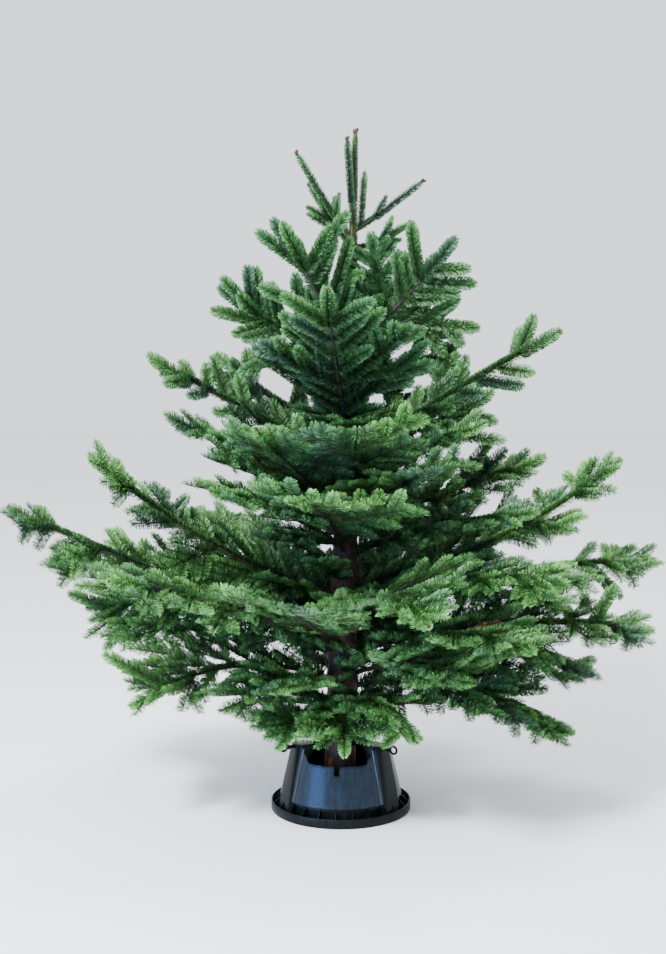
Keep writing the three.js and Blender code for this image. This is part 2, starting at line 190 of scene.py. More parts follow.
@dataclass(frozen=True)
class BarkFinish:
    """Fir bark: matt, with fine lengthwise furrows, greener on the stem's young top.

    The furrows of the real bark are 2 to 3 mm wide; the grain is drawn coarser so that it shows.
    """

    name: str
    dark: str
    light: str
    grain_mm: float = 7.0
    relief_mm: float = 0.8
    roughness: float = 0.85
    young: str = ""
    young_from: float = 1.24
    young_reach: float = 0.2

    def material(self) -> Material:
        """Builds the bark's two-tone grain and its small relief.

        Returns:
            The material.
        """
        made, tree, shader = new_material(self.name, {"Roughness": self.roughness})
        place = add_node(tree, "ShaderNodeTexCoord").outputs["Object"]
        # Three times as long as wide, as bark tears along the stem.
        long = add_node(
            tree, "ShaderNodeMapping", sockets={"Vector": place, "Scale": (1.0, 1.0, 0.35)}
        )
        pattern = {"Scale": 1 / (self.grain_mm * MM), "Detail": 6.0, "Roughness": 0.65}
        grain = add_node(tree, "ShaderNodeTexNoise", sockets={"Vector": long, **pattern})
        stops = [(0.38, linear(self.dark)), (0.66, linear(self.light))]
        colour: object = add_node(tree, "ShaderNodeValToRGB", grain, stops=stops)
        relief = {"Strength": 0.7, "Distance": self.relief_mm * MM, "Height": grain}
        bump = add_node(tree, "ShaderNodeBump", sockets=relief)
        if self.young:
            reach = {"From Min": self.young_from, "From Max": self.young_from + self.young_reach}
            height = add_node(tree, "ShaderNodeSeparateXYZ", place).outputs["Z"]
            rise = add_node(tree, "ShaderNodeMapRange", height, sockets=reach)
            both = {6: colour, 7: linear(self.young)}
            colour = add_node(
                tree, "ShaderNodeMix", rise, sockets=both, data_type="RGBA"
            ).outputs[2]
        set_inputs(tree, shader, {"Base Color": colour, "Normal": bump})
        return made


@dataclass(frozen=True)
class MouldedPlasticFinish:
    """Injection-moulded polypropylene: a satin skin with faint flow ripples and streaks."""

    name: str
    colour: str
    dust_and_sheen: str
    roughness: float = 0.34
    gloss: float = 0.1
    ripple_mm: float = 6.5
    ripple_depth_mm: float = 0.1
    sheen: str = "#ffffff"
    streak_mm: float = 9.0
    bow_mm: float = 11.0
    bows: float = 11.0

    def material(self) -> Material:
        """Builds the plastic: level ripples from the mould, upright streaks and dusty patches,
        which on the polished panels are a bluish painted sheen and on the corner bead a pale
        painted highlight.

        Returns:
            The material.
        """
        skin = {
            "IOR": 1.49,
            "Specular IOR Level": self.gloss,
            "Specular Tint": linear(self.sheen),
        }
        made, tree, shader = new_material(self.name, skin)
        place = add_node(tree, "ShaderNodeTexCoord").outputs["Object"]
        upright = add_node(
            tree, "ShaderNodeMapping", sockets={"Vector": place, "Scale": (1.0, 1.0, 0.06)}
        )
        pattern = {"Scale": 1 / (self.streak_mm * MM), "Detail": 5.0, "Roughness": 0.6}
        streaks = add_node(tree, "ShaderNodeTexNoise", sockets={"Vector": upright, **pattern})
        # The streaks' second colour is dust on plain plastic, a bluish painted sheen on the
        # polished panels and a pale painted highlight on the corner bead.
        stops = [(0.45, linear(self.colour)), (0.8, linear(self.dust_and_sheen))]
        colours = add_node(tree, "ShaderNodeValToRGB", streaks, stops=stops)
        span = {"To Min": self.roughness - 0.07, "To Max": self.roughness + 0.14}
        shine = add_node(tree, "ShaderNodeMapRange", streaks, sockets=span)
        # Ripples stand 6.5 mm apart up the wall, each bowed over the gates that fed the mould.
        apart = add_node(tree, "ShaderNodeSeparateXYZ", place).outputs
        ripples: object = apart["X"]
        for operation, other in (
            ("ARCTAN2", apart["Y"]),
            ("MULTIPLY", self.bows),
            ("SINE", 0.0),
            ("ABSOLUTE", 0.0),
            ("MULTIPLY", self.bow_mm * MM),
            ("ADD", apart["Z"]),
            ("MULTIPLY", 2 * math.pi / (self.ripple_mm * MM)),
            ("SINE", 0.0),
            ("MULTIPLY", streaks),
        ):
            ripples = add_node(tree, MATH, ripples, other, operation=operation)
        relief = {"Strength": 0.8, "Distance": self.ripple_depth_mm * MM, "Height": ripples}
        bump = add_node(tree, "ShaderNodeBump", sockets=relief)
        set_inputs(tree, shader, {"Base Color": colours, "Roughness": shine, "Normal": bump})
        return made


@dataclass(frozen=True)
class PaintedFloorFinish:
    """A matt painted floor, even and pale, for the studio."""

    name: str
    colour: str
    roughness: float = 0.9

    def material(self) -> Material:
        """Builds the even finish."""
        values = {"Base Color": linear(self.colour), "Roughness": self.roughness}
        return new_material(self.name, values)[0]


class Tone(Enum):
    """The greens of the sprays, from the newest outer ones to the oldest inner ones, dealt lighter
    to outer and lower sprays partly as painted light.
    """

    BRIGHT = NeedleFinish("needles_bright_green", "#548645", 0.42)
    FRESH = NeedleFinish("needles_fresh_green", "#44723a", 0.42)
    MIDDLE = NeedleFinish("needles_middle_green", "#3a6534", 0.44)
    BLUISH = NeedleFinish("needles_bluish_green", "#35593d", 0.44)
    DEEP = NeedleFinish("needles_deep_green", "#386538", 0.5)
    DRY = NeedleFinish("needles_dry_brown", "#7a5f3a", 0.7)



# ---- Mesh helpers ----


def add_object(name: str, data: ID | None) -> Object:
    """Puts a mesh, light or camera into the scene as an object at the origin."""
    made = bpy.data.objects.new(name, data)
    bpy.context.scene.collection.objects.link(made)
    return made


def discard(piece: Object) -> None:
    """Removes an object and its mesh."""
    mesh = piece.data
    bpy.data.objects.remove(piece)
    bpy.data.meshes.remove(mesh)


def mesh_object(
    name: str,
    points: Iterable[Iterable[float]],
    faces: Sequence[Sequence[int]],
    *materials: Material,
    smooth: bool = True,
) -> Object:
    """Makes a mesh object at the origin.

    Args:
        name: The piece's name.
        points: Vertices in metres.
        faces: Vertex numbers of each face, outwards by the right-hand rule.
        *materials: The piece's finishes.
        smooth: Whether its faces are shaded smooth.

    Returns:
        The object, linked to the scene.
    """
    mesh = bpy.data.meshes.new(name)
    mesh.from_pydata([tuple(p) for p in points], [], [tuple(f) for f in faces])
    for made in materials:
        mesh.materials.append(made)
    if smooth:
        mesh.shade_smooth()
    return add_object(name, mesh)


def closed_object(
    name: str,
    points: Iterable[Vector],
    faces: Sequence[Sequence[int]],
    *materials: Material,
    smooth: bool = True,
) -> Object:
    """Makes a closed mesh from points in mm, and turns its faces outwards.

    Args:
        name: The piece's name.
        points: Vertices in mm.
        faces: Vertex numbers of each face, in either direction.
        *materials: The piece's finishes.
        smooth: Whether its faces are shaded smooth.

    Returns:
        The object.
    """
    piece = mesh_object(name, (p * MM for p in points), faces, *materials, smooth=smooth)
    made = bmesh.new()
    made.from_mesh(piece.data)
    bmesh.ops.recalc_face_normals(made, faces=made.faces)
    made.to_mesh(piece.data)
    made.free()
    return piece


def tube_faces(levels: int, sides: int, first: int = 0) -> list[list[int]]:
    """Lists the faces of a tube of rings, with its two ends.

    Args:
        levels: How many rings it has.
        sides: How many points each ring has.
        first: The number of its first point.

    Returns:
        The faces.
    """
    faces = []
    for low in range(first, first + (levels - 1) * sides, sides):
        for i, j in zip(range(sides), [*range(1, sides), 0]):
            faces.append([low + i, low + j, low + sides + j, low + sides + i])
    last = first + (levels - 1) * sides
    return [*faces, list(range(first + sides - 1, first - 1, -1)), list(range(last, last + sides))]


def marked_points(
    name: str,
    points: Iterable[Vector],
    edges: Sequence[tuple[int, int]],
    **marks: Sequence[float],
) -> Object:
    """Makes loose points and edges, with what the geometry trees read on them.

    Args:
        name: The object's name.
        points: Points in mm.
        edges: The lines between them.
        **marks: Attributes: one number for each point, or three for a direction.

    Returns:
        The object.
    """
    mesh = bpy.data.meshes.new(name)
    mesh.from_pydata([tuple(point * MM) for point in points], edges, [])
    for label, values in marks.items():
        whole = len(values) > len(mesh.vertices)
        kind, key = ("FLOAT_VECTOR", "vector") if whole else ("FLOAT", "value")
        mesh.attributes.new(label, kind, "POINT").data.foreach_set(key, values)
    return add_object(name, mesh)


def applied(piece: Object, name: str) -> Object:
    """Turns a piece and its modifiers into a plain mesh object.

    Args:
        piece: The object, whose modifiers are evaluated and which is then removed.
        name: The plain object's name.

    Returns:
        The plain object.
    """
    graph = bpy.context.evaluated_depsgraph_get()
    mesh = bpy.data.meshes.new_from_object(piece.evaluated_get(graph))
    discard(piece)
    mesh.name = name
    return add_object(name, mesh)


def finish_piece(piece: Object, replaced: Sequence[str]) -> None:
    """Hands a finished piece to the frame.

    Args:
        piece: The plain mesh object.
        replaced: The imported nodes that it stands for.
    """
    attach(piece, "root")
    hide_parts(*replaced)
    count = sum(len(p.vertices) - 2 for p in piece.data.polygons)
    LOG.info("%s: %d triangles", piece.name, count)


# ---- Geometry Nodes ----


def new_tree(name: str, inputs: dict[str, object]) -> tuple[NodeTree, NodeOutputs]:
    """Makes an empty geometry tree with named inputs and one geometry output.

    Args:
        name: The tree's name.
        inputs: Each input after the geometry, with its starting number or its kind.

    Returns:
        The tree, and the sockets of its inputs.
    """
    tree = bpy.data.node_groups.new(name, "GeometryNodeTree")
    face = tree.interface
    face.new_socket("Geometry", in_out="INPUT", socket_type="NodeSocketGeometry")
    for label, start in inputs.items():
        kind = {int: "Int", float: "Float"}.get(type(start), start)
        socket = face.new_socket(label, in_out="INPUT", socket_type=f"NodeSocket{kind}")
        if kind != start:
            socket.default_value = start
    face.new_socket("Geometry", in_out="OUTPUT", socket_type="NodeSocketGeometry")
    tree.nodes.new("NodeGroupOutput").name = "out"
    return tree, tree.nodes.new("NodeGroupInput").outputs


def end_tree(tree: NodeTree, made: Node, finish: NodeSocket) -> NodeTree:
    """Ends a geometry tree with real, dressed geometry.

    Args:
        tree: The tree.
        made: The node whose geometry the tree gives.
        finish: The material's socket.

    Returns:
        The tree.
    """
    real = add_node(tree, "GeometryNodeRealizeInstances", made)
    dressed = add_node(tree, "GeometryNodeSetMaterial", real, sockets={"Material": finish})
    set_inputs(tree, tree.nodes["out"], {"Geometry": dressed})
    return tree


def run_tree(piece: Object, tree: NodeTree, values: dict[str, object], name: str) -> Object:
    """Runs a geometry tree on a piece with its inputs set, and keeps the plain result.

    Args:
        piece: The object that carries the tree's input geometry.
        tree: The geometry tree.
        values: Inputs by name.
        name: The result's name.

    Returns:
        The plain mesh object.
    """
    modifier = piece.modifiers.new("nodes", "NODES")
    modifier.node_group = tree
    sockets = {
        item.name: item.identifier
        for item in tree.interface.items_tree
        if item.item_type == "SOCKET" and item.in_out == "INPUT"
    }
    for label, value in values.items():
        modifier[sockets[label]] = value
    return applied(piece, name)


def needle_tree() -> NodeTree:
    """Builds the tree that clads shoot lines with needles.

    Each needle starts on the shoot's line, leans forwards, and stands out to one side of the
    parting above it or to the other. Attributes of the lines: face, the side that faces up;
    slim, its needles' length against the usual; wrap, how far round the needles go, in
    radians; left, how far its tip still is.

    Returns:
        The tree.
    """
    inputs = {
        "Spacing": 1.0 * MM, "Needle": "Object", "Lean": 0.8, "Lean Sway": 0.2, "Parting": 0.5,
        "Length Sway": 0.2, "Tip Reach": 30 * MM, "Fresh Reach": 90 * MM, "Seed": 7,
        "Finish": "Material",
    }  # fmt: skip
    tree, source = new_tree("needles_on_shoots", inputs)
    lines = add_node(tree, "GeometryNodeMeshToCurve", source["Geometry"])
    ends = {"Curve": lines, "Length": source["Spacing"]}
    points = add_node(tree, "GeometryNodeCurveToPoints", sockets=ends, mode="LENGTH")
    along = points.outputs["Tangent"]
    face = add_node(tree, ATTRIBUTE, "face", data_type="FLOAT_VECTOR")
    wrap, slim, left = (
        add_node(tree, ATTRIBUTE, name, data_type="FLOAT") for name in ("wrap", "slim", "left")
    )
    across = add_node(tree, VECTORS, along, face, operation="CROSS_PRODUCT")
    side = add_node(tree, VECTORS, across, operation="NORMALIZE")
    above = add_node(tree, VECTORS, side, along, operation="CROSS_PRODUCT")

    def dealt(low: float, high: float, step: int) -> NodeSocket:
        """Adds a random number for each needle, from low to high."""
        seed = add_node(tree, MATH, source["Seed"], float(step), operation="ADD")
        ends = {2: low, 3: high, "Seed": seed}
        return add_node(
            tree, "FunctionNodeRandomValue", sockets=ends, data_type="FLOAT"
        ).outputs[1]

    def aimed(first: object, second: object, angle: object) -> Node:
        """Adds the direction at an angle from one direction towards another."""
        parts = []
        for axis, wave in ((first, "COSINE"), (second, "SINE")):
            share = {"Scale": add_node(tree, MATH, angle, operation=wave)}
            parts.append(add_node(tree, VECTORS, axis, sockets=share, operation="SCALE"))
        return add_node(tree, VECTORS, *parts, operation="ADD")

    # Needles take the golden section of the way round in turn, so none stand in rows.
    hand: object = add_node(tree, "GeometryNodeInputIndex")
    hand = add_node(tree, MATH, hand, 0.618034, operation="MULTIPLY")
    hand = add_node(tree, MATH, hand, operation="FRACT")
    hand = add_node(tree, MATH, hand, 2.0, -1.0, operation="MULTIPLY_ADD")
    hand = add_node(tree, MATH, hand, dealt(-0.06, 0.06, 1), operation="ADD")
    span = add_node(tree, MATH, wrap, source["Parting"], operation="SUBTRACT")
    turn = add_node(tree, MATH, hand, operation="ABSOLUTE")
    turn = add_node(tree, MATH, turn, span, operation="MULTIPLY")
    turn = add_node(tree, MATH, turn, source["Parting"], operation="ADD")
    sign = add_node(tree, MATH, hand, operation="SIGN")
    turn = add_node(tree, MATH, turn, sign, operation="MULTIPLY")
    outward = aimed(above, side, turn)

    # Towards the tip needles close up and shorten, and on the newest growth they are lightest,
    # partly as painted light on the shoots' outer tips.
    near, away_share = (
        add_node(tree, MATH, left, source[reach], operation="DIVIDE", use_clamp=True)
        for reach in ("Tip Reach", "Fresh Reach")
    )
    lean = add_node(tree, MATH, dealt(-1.0, 1.0, 2), source["Lean Sway"], operation="MULTIPLY")
    lean = add_node(tree, MATH, source["Lean"], lean, operation="ADD")
    opened = add_node(tree, MATH, near, 0.5, 0.5, operation="MULTIPLY_ADD")
    lean = add_node(tree, MATH, lean, opened, operation="MULTIPLY")
    heading = aimed(along, outward, lean)
    share = {"Scale": dealt(-0.8, 0.8, 5)}
    rolled = add_node(tree, VECTORS, side, sockets=share, operation="SCALE")
    tipped = add_node(tree, VECTORS, above, rolled, operation="ADD")
    axes = {"Primary Axis": heading, "Secondary Axis": tipped}
    turned = add_node(
        tree, "FunctionNodeAxesToRotation", sockets=axes, primary_axis="Y", secondary_axis="Z"
    )
    size = add_node(tree, MATH, dealt(-1.0, 1.0, 3), source["Length Sway"], operation="MULTIPLY")
    size = add_node(tree, MATH, size, 1.0, operation="ADD")
    size = add_node(tree, MATH, size, slim, operation="MULTIPLY")
    shorter = add_node(tree, MATH, near, 0.3, 0.7, operation="MULTIPLY_ADD")
    size = add_node(tree, MATH, size, shorter, operation="MULTIPLY")
    needle = add_node(tree, "GeometryNodeObjectInfo", source["Needle"]).outputs["Geometry"]
    places = {"Points": points, "Instance": needle, "Rotation": turned, "Scale": size}
    placed = add_node(tree, "GeometryNodeInstanceOnPoints", sockets=places)
    newest_lit = add_node(tree, MATH, 1.0, away_share, operation="SUBTRACT")
    for label, value in (("shade", dealt(0.0, 1.0, 4)), ("newness", newest_lit)):
        placed = add_node(
            tree,
            "GeometryNodeStoreNamedAttribute",
            placed,
            sockets={"Name": label, "Value": value},
            data_type="FLOAT",
            domain="INSTANCE",
        )
    return end_tree(tree, placed, source["Finish"])


def stem_tree() -> NodeTree:
    """Builds the tree that gives lines a round stem.

    Attribute of the lines: girth, the stem's radius in metres.

    Returns:
        The tree.
    """
    tree, source = new_tree("stems_on_lines", {"Sides": 4, "Finish": "Material"})
    ring = add_node(
        tree,
        "GeometryNodeCurvePrimitiveCircle",
        sockets={"Radius": 1.0, "Resolution": source["Sides"]},
        mode="RADIUS",
    )
    ends = {
        "Curve": add_node(tree, "GeometryNodeMeshToCurve", source["Geometry"]),
        "Profile Curve": ring,
        "Scale": add_node(tree, ATTRIBUTE, "girth", data_type="FLOAT"),
        "Fill Caps": True,
    }
    swept = add_node(tree, "GeometryNodeCurveToMesh", sockets=ends)
    return end_tree(tree, swept, source["Finish"])


def bud_tree() -> NodeTree:
    """Builds the tree that sets a small pattern on each point.

    Attributes of the points: face, the direction that the pattern's +Z takes; girth, its scale.

    Returns:
        The tree.
    """
    tree, source = new_tree("buds_on_tips", {"Bud": "Object", "Finish": "Material"})
    face = add_node(tree, ATTRIBUTE, "face", data_type="FLOAT_VECTOR")
    bud = add_node(tree, "GeometryNodeObjectInfo", source["Bud"])
    places = {
        "Points": source["Geometry"],
        "Instance": bud.outputs["Geometry"],
        "Rotation": add_node(
            tree, "FunctionNodeAlignRotationToVector", sockets={"Vector": face}, axis="Z"
        ),
        "Scale": add_node(tree, ATTRIBUTE, "girth", data_type="FLOAT"),
    }
    placed = add_node(tree, "GeometryNodeInstanceOnPoints", sockets=places)
    return end_tree(tree, placed, source["Finish"])


def ring_tree() -> NodeTree:
    """Builds the tree that repeats its input evenly about the upright axis.

    Returns:
        The tree.
    """
    inputs = {"Count": 24, "Start Angle": 0.0, "Finish": "Material"}
    tree, source = new_tree("repeated_round", inputs)
    row = {"Offset": (0.0, 0.0, 0.0), "Count": source["Count"]}
    spots = add_node(tree, "GeometryNodeMeshLine", sockets=row, mode="OFFSET")
    number = add_node(tree, "GeometryNodeInputIndex")
    share = add_node(tree, MATH, 2 * math.pi, source["Count"], operation="DIVIDE")
    angle = add_node(tree, MATH, number, share, operation="MULTIPLY")
    angle = add_node(tree, MATH, angle, source["Start Angle"], operation="ADD")
    turn = {"Axis": (0.0, 0.0, 1.0), "Angle": angle}
    places = {
        "Points": spots,
        "Instance": source["Geometry"],
        "Rotation": add_node(tree, "FunctionNodeAxisAngleToRotation", sockets=turn),
    }
    placed = add_node(tree, "GeometryNodeInstanceOnPoints", sockets=places)
    return end_tree(tree, placed, source["Finish"])


# ---- The growth rule ----


def imul(a: int, b: int) -> int:
    """Multiplies two whole numbers and keeps 32 bits."""
    return (a * b) & 0xFFFFFFFF


def chance(seed: int, count: int) -> float:
    """Gives a repeatable number from 0 to 1 for a seed and a count.

    Args:
        seed: The branch's own number.
        count: Which of its numbers is wanted.

    Returns:
        The number.
    """
    mixed = (imul(seed ^ 0x9E3779B9, 0x85EBCA6B) + imul(count + 1, 0xC2B2AE35)) & 0xFFFFFFFF
    mixed = imul(mixed ^ (mixed >> 15), 0x2C1B3C6D)
    mixed = imul(mixed ^ (mixed >> 12), 0x297A2D39)
    return (mixed ^ (mixed >> 15)) / 4294967296


def sway(seed: int, count: int) -> float:
    """Gives a repeatable number from -1 to 1."""
    return 2 * chance(seed, count) - 1


@dataclass(frozen=True)
class Trunk:
    """The stem's taper, in mm above its flat cut, and its lean to the right."""

    foot: float = 6.3
    foot_x: float = -5.0
    lean: float = 0.0232
    taper: tuple[tuple[float, float], ...] = (
        (0, 47), (30, 44.5), (120, 42.5), (300, 40), (600, 34), (900, 27), (1200, 18.5),
        (1430, 11), (1550, 7), (1790, 3.6), (1800, 6), (1808, 6), (1816, 2.5),
    )  # fmt: skip

    def centre(self, height: float) -> Vector:
        """Gives the middle of the stem at a height in mm."""
        return Vector((self.foot_x + self.lean * (height - self.foot), 0.0, height))

    def radius(self, height: float) -> float:
        """Gives the stem's radius at a height in mm."""
        above = height - self.foot
        return float(np.interp(above, [z for z, _ in self.taper], [r for _, r in self.taper]))


@dataclass(frozen=True)
class Bough:
    """One bough by its named sizes, in mm and degrees, as in the part's own table.

    Height is where it leaves the trunk; azimuth 0 is right, 90 back, 180 left and 270 front;
    reach and rise are how far out and up its tip is; bow is how far its middle stands above a
    straight line; roll turns its flat spray about its own line; spread is its longest side
    branch as a part of its length; years are its growth sections, of which the first bare
    ones have no side branches.
    """

    name: str
    height: float
    azimuth: float
    reach: float
    rise: float
    bow: float
    roll: float
    spread: float
    years: int
    bare: int
    seed: int = 0


# Each bough's named sizes, in the order of its fields.
BOUGH_SIZES = (
    ("low_front", 300, 271, 330, -65, 0.12, 0, 0.62, 4, 1),
    ("low_front_left", 296, 237, 310, -60, 0.12, 0, 0.6, 3, 0),
    ("low_front_right", 310, 303, 355, -50, 0.12, 0, 0.6, 4, 1),
    ("skirt_right", 335, 346, 630, -95, 0.1, 18, 0.44, 6, 2),
    ("skirt_left", 345, 203, 600, -5, 0.13, -28, 0.55, 5, 1),
    ("skirt_front", 350, 228, 460, 0, 0.08, 0, 0.5, 4, 1),
    ("skirt_front_right", 360, 306, 540, 85, 0.08, 0, 0.5, 5, 1),
    ("long_left", 430, 187.5, 890, 410, 0.0, -26, 0.32, 7, 2),
    ("left_back", 476, 168, 735, 35, 0.07, -34, 0.48, 6, 2),
    ("left_front", 425, 221, 755, 280, 0.05, -26, 0.46, 6, 2),
    ("near_left", 432, 250, 640, 245, 0.05, -12, 0.45, 5, 1),
    ("near_right", 440, 317, 640, 90, 0.06, 14, 0.5, 5, 1),
    ("long_right", 425, 351, 830, 90, 0.06, 30, 0.4, 7, 2),
    ("right_back", 400, 13, 720, -65, 0.1, 30, 0.46, 6, 2),
    ("low_back_right", 420, 58, 690, 130, 0.08, 0, 0.5, 5, 1),
    ("low_back", 410, 98, 690, 110, 0.08, 0, 0.5, 5, 1),
    ("low_back_left", 430, 132, 700, 140, 0.08, 0, 0.5, 5, 1),
    ("mid_left", 520, 178, 800, 165, 0.03, -30, 0.38, 6, 1),
    ("rising_left", 590, 190, 680, 395, -0.09, -36, 0.34, 6, 1),
    ("mid_right", 515, 2, 845, 160, 0.05, 30, 0.34, 6, 1),
    ("rising_right", 620, 354, 735, 345, -0.09, 40, 0.34, 6, 1),
    ("behind_right", 600, 15, 690, 185, 0.0, 26, 0.36, 5, 1),
    ("front_right", 520, 285, 725, 125, 0.09, 8, 0.4, 5, 1),
    ("side_right", 560, 328, 660, 120, 0.06, 20, 0.4, 5, 1),
    ("back_right", 580, 50, 640, 210, 0.05, 0, 0.5, 5, 1),
    ("back_left", 560, 147, 640, 200, 0.05, 0, 0.5, 5, 1),
    ("front", 700, 260, 615, 215, 0.06, 0, 0.5, 5, 1),
    ("front_left", 715, 228, 500, 200, 0.05, -16, 0.48, 5, 1),
    ("front_left_upper", 790, 241, 470, 275, 0.02, 0, 0.62, 4, 0),
    ("near_right_upper", 760, 293, 485, 200, 0.06, 0, 0.5, 4, 1),
    ("right_lower", 700, 336, 540, 140, 0.03, 24, 0.42, 5, 1),
    ("left_upper", 790, 200, 490, 295, 0.03, -26, 0.42, 5, 1),
    ("right_mid", 770, 10, 560, 180, 0.0, 26, 0.4, 5, 1),
    ("back_mid", 740, 110, 540, 230, 0.04, 0, 0.5, 4, 1),
    ("front_upper", 830, 272, 550, 245, 0.03, 0, 0.55, 4, 0),
    ("right_front_upper", 900, 331, 410, 165, 0.02, 20, 0.5, 4, 0),
    ("high_left", 940, 188, 525, 290, 0.0, -40, 0.36, 5, 1),
    ("high_left_back", 1010, 152, 420, 220, -0.05, -40, 0.5, 4, 1),
    ("high_right", 950, 356, 565, 350, 0.02, 46, 0.4, 5, 1),
    ("upright_right", 1030, 28, 260, 310, -0.3, 60, 0.6, 4, 1),
    ("back_upper", 930, 80, 430, 270, 0.0, 0, 0.5, 4, 1),
    ("crown_front", 1020, 262, 425, 385, -0.02, 0, 0.52, 5, 0),
    ("crown_back_right", 1180, 30, 350, 205, -0.03, 45, 0.6, 3, 0),
    ("crown_left", 1220, 172, 360, 190, -0.04, -68, 0.56, 3, 0),
    ("crown_front_left", 1250, 222, 230, 325, -0.08, 50, 0.6, 3, 0),
    ("crown_right", 1250, 340, 290, 290, -0.06, -70, 0.62, 3, 0),
    ("crown_back", 1170, 100, 340, 260, -0.02, 0, 0.55, 3, 0),
    ("top_left", 1535, 190, 150, 225, -0.08, 0, 0, 1, 0),
    ("top_left_back", 1515, 150, 135, 170, -0.08, -40, 0.5, 2, 0),
    ("top_right", 1556, 3, 185, 135, -0.03, 0, 0, 1, 0),
    ("top_right_front", 1515, 338, 160, 65, -0.1, 30, 0.55, 2, 0),
    ("leader_left", 1556, 242, 35, 240, 0, 0, 0, 1, 0),
)

# Strong single shoots: their bough, their place along it, and where their tips are, in mm.
SINGLES = (
    ("right_front_upper", 0.8, 420, -159, 1015), ("right_front_upper", 0.5, 338, -69, 1020),
    ("right_mid", 0.7, 388, 8, 959), ("skirt_left", 0.15, -184, -65, 458),
    ("left_front", 0.12, -147, -59, 478), ("skirt_front", 0.2, -104, -68, 426),
    ("low_front_right", 0.25, 147, -54, 349), ("skirt_right", 0.08, 117, -12, 324),
    ("low_front_left", 0.2, -78, -52, 340), ("mid_right", 0.78, 762, 23, 579),
    ("long_right", 0.8, 722, -104, 633), ("left_back", 0.9, -759, 138, 565),
    ("left_front", 0.9, -645, -446, 697), ("skirt_left", 0.82, -616, -192, 468),
    ("left_back", 0.78, -654, 119, 410), ("low_front_left", 0.7, -238, -182, 277),
    ("low_front_left", 0.8, -200, -208, 250), ("low_front_right", 0.7, 206, -208, 245),
    ("low_front_right", 0.8, 110, -238, 235), ("crown_front_left", 0.72, -218, -111, 1552),
    ("crown_front_left", 0.72, -177, -111, 1585), ("crown_front_left", 0.66, 9, -102, 1606),
    ("crown_left", 0.7, -319, 35, 1437), ("crown_left", 0.72, -250, 36, 1469),
    ("crown_left", 0.55, -343, 28, 1358), ("crown_right", 0.75, 333, -74, 1462),
    ("top_right_front", 0.4, 169, -24, 1576), ("top_right", 0.1, 60, 0, 1712),
    ("top_left_back", 0.3, -19, 20, 1647), ("top_left_back", 0.3, -90, 40, 1606),
    ("top_right_front", 0.3, 154, -30, 1536), ("right_mid", 0.6, 445, 0, 984),
    ("right_mid", 0.5, 408, 0, 1011), ("skirt_left", 0.6, -391, -150, 330),
    ("skirt_left", 0.45, -314, -120, 352), ("skirt_left", 0.7, -447, -160, 357),
    ("skirt_right", 0.55, 551, -80, 347), ("left_upper", 0.9, -455, -151, 1092),
    ("left_upper", 0.85, -425, -142, 1052), ("high_left", 0.9, -506, -66, 1237),
    ("high_left", 0.8, -474, -58, 1187),
)  # fmt: skip

# Where the tree is looked at from, in mm, which the openings are seen through.
VIEW_FROM = Vector((-21.5, -4200.0, 1400.0))


@dataclass(frozen=True)
class Opening:
    """A gap between boughs where the sky shows, as a tilted oval in the plane of the trunk.

    Sizes in mm: across and height are its middle, half_across and half_height its half sizes,
    and tilt, in degrees, lifts its right end. It is looked through from the front.
    """

    across: float
    height: float
    half_across: float
    half_height: float
    tilt: float = 0.0

    def covers(self, point: Vector) -> bool:
        """Tells whether a point, in mm, lies in the gap when seen from the front."""
        share = VIEW_FROM.y / (VIEW_FROM.y - point.y)
        x = VIEW_FROM.x + (point.x - VIEW_FROM.x) * share - self.across
        z = VIEW_FROM.z + (point.z - VIEW_FROM.z) * share - self.height
        turn = math.radians(self.tilt)
        u = (x * math.cos(turn) + z * math.sin(turn)) / self.half_across
        v = (z * math.cos(turn) - x * math.sin(turn)) / self.half_height
        return u * u + v * v < 1.0


OPENINGS = [Opening(*sizes) for sizes in (
    (-556, 758, 113, 30, -22), (-724, 798, 27, 43), (556, 709, 108, 30, 10),
    (394, 825, 80, 27, 28), (600, 820, 43, 24, 15), (604, 423, 65, 22, -10),
    (574, 276, 109, 36, -30), (182, 1242, 64, 40, 10), (151, 1136, 117, 24, 20),
    (-168, 1147, 80, 34, -45), (-323, 274, 71, 25), (-578, 321, 38, 39), (90, 387, 41, 19, 25),
    (-416, 1242, 24, 40), (-343, 1070, 59, 27, -15), (309, 1337, 37, 37, 30),
    (396, 1067, 40, 32, 20), (-169, 1491, 63, 16, -8), (-153, 1426, 42, 26, -20),
    (-299, 1311, 48, 16, -5), (791, 553, 46, 25, -10), (-465, 271, 60, 31), (-665, 490, 41, 17),
    (-117, 268, 33, 17), (248, 249, 60, 31, -15), (-211, 1019, 29, 24, -30),
    (-123, 965, 64, 13, 5), (-614, 771, 38, 30, -15), (376, 1261, 21, 42), (428, 1279, 16, 32),
    (548, 1226, 48, 19, -5), (319, 1316, 45, 16), (-123, 1104, 32, 27), (103, 1104, 53, 16, 10),
    (169, 1266, 53, 18), (-220, 1229, 42, 21, -20), (-878, 860, 21, 24), (-271, 307, 22, 22),
    (-133, 257, 24, 42), (297, 237, 22, 39), (-681, 809, 24, 43), (683, 564, 32, 11),
    (-386, 246, 49, 33), (807, 542, 40, 22),
)]  # fmt: skip


def squared(face: Vector, heading: Vector) -> Vector:
    """Gives the direction nearest to a face that is square to a heading."""
    return (face - heading * face.dot(heading)).normalized()


def swung(first: Vector, second: Vector, angle: float) -> Vector:
    """Gives the direction at an angle, in radians, from one direction towards another."""
    return first * math.cos(angle) + second * math.sin(angle)


def flat(azimuth: float) -> Vector:
    """Gives the level direction at an azimuth in radians."""
    return Vector((math.cos(azimuth), math.sin(azimuth), 0.0))


def ramped(value: float, places: Sequence[float], results: Sequence[float]) -> float:
    """Gives the number between results that a value's place between places asks for."""
    return float(np.interp(value, places, results))


def path_length(points: Sequence[Vector]) -> float:
    """Gives the length of a line of points."""
    return sum((b - a).length for a, b in zip(points, points[1:]))


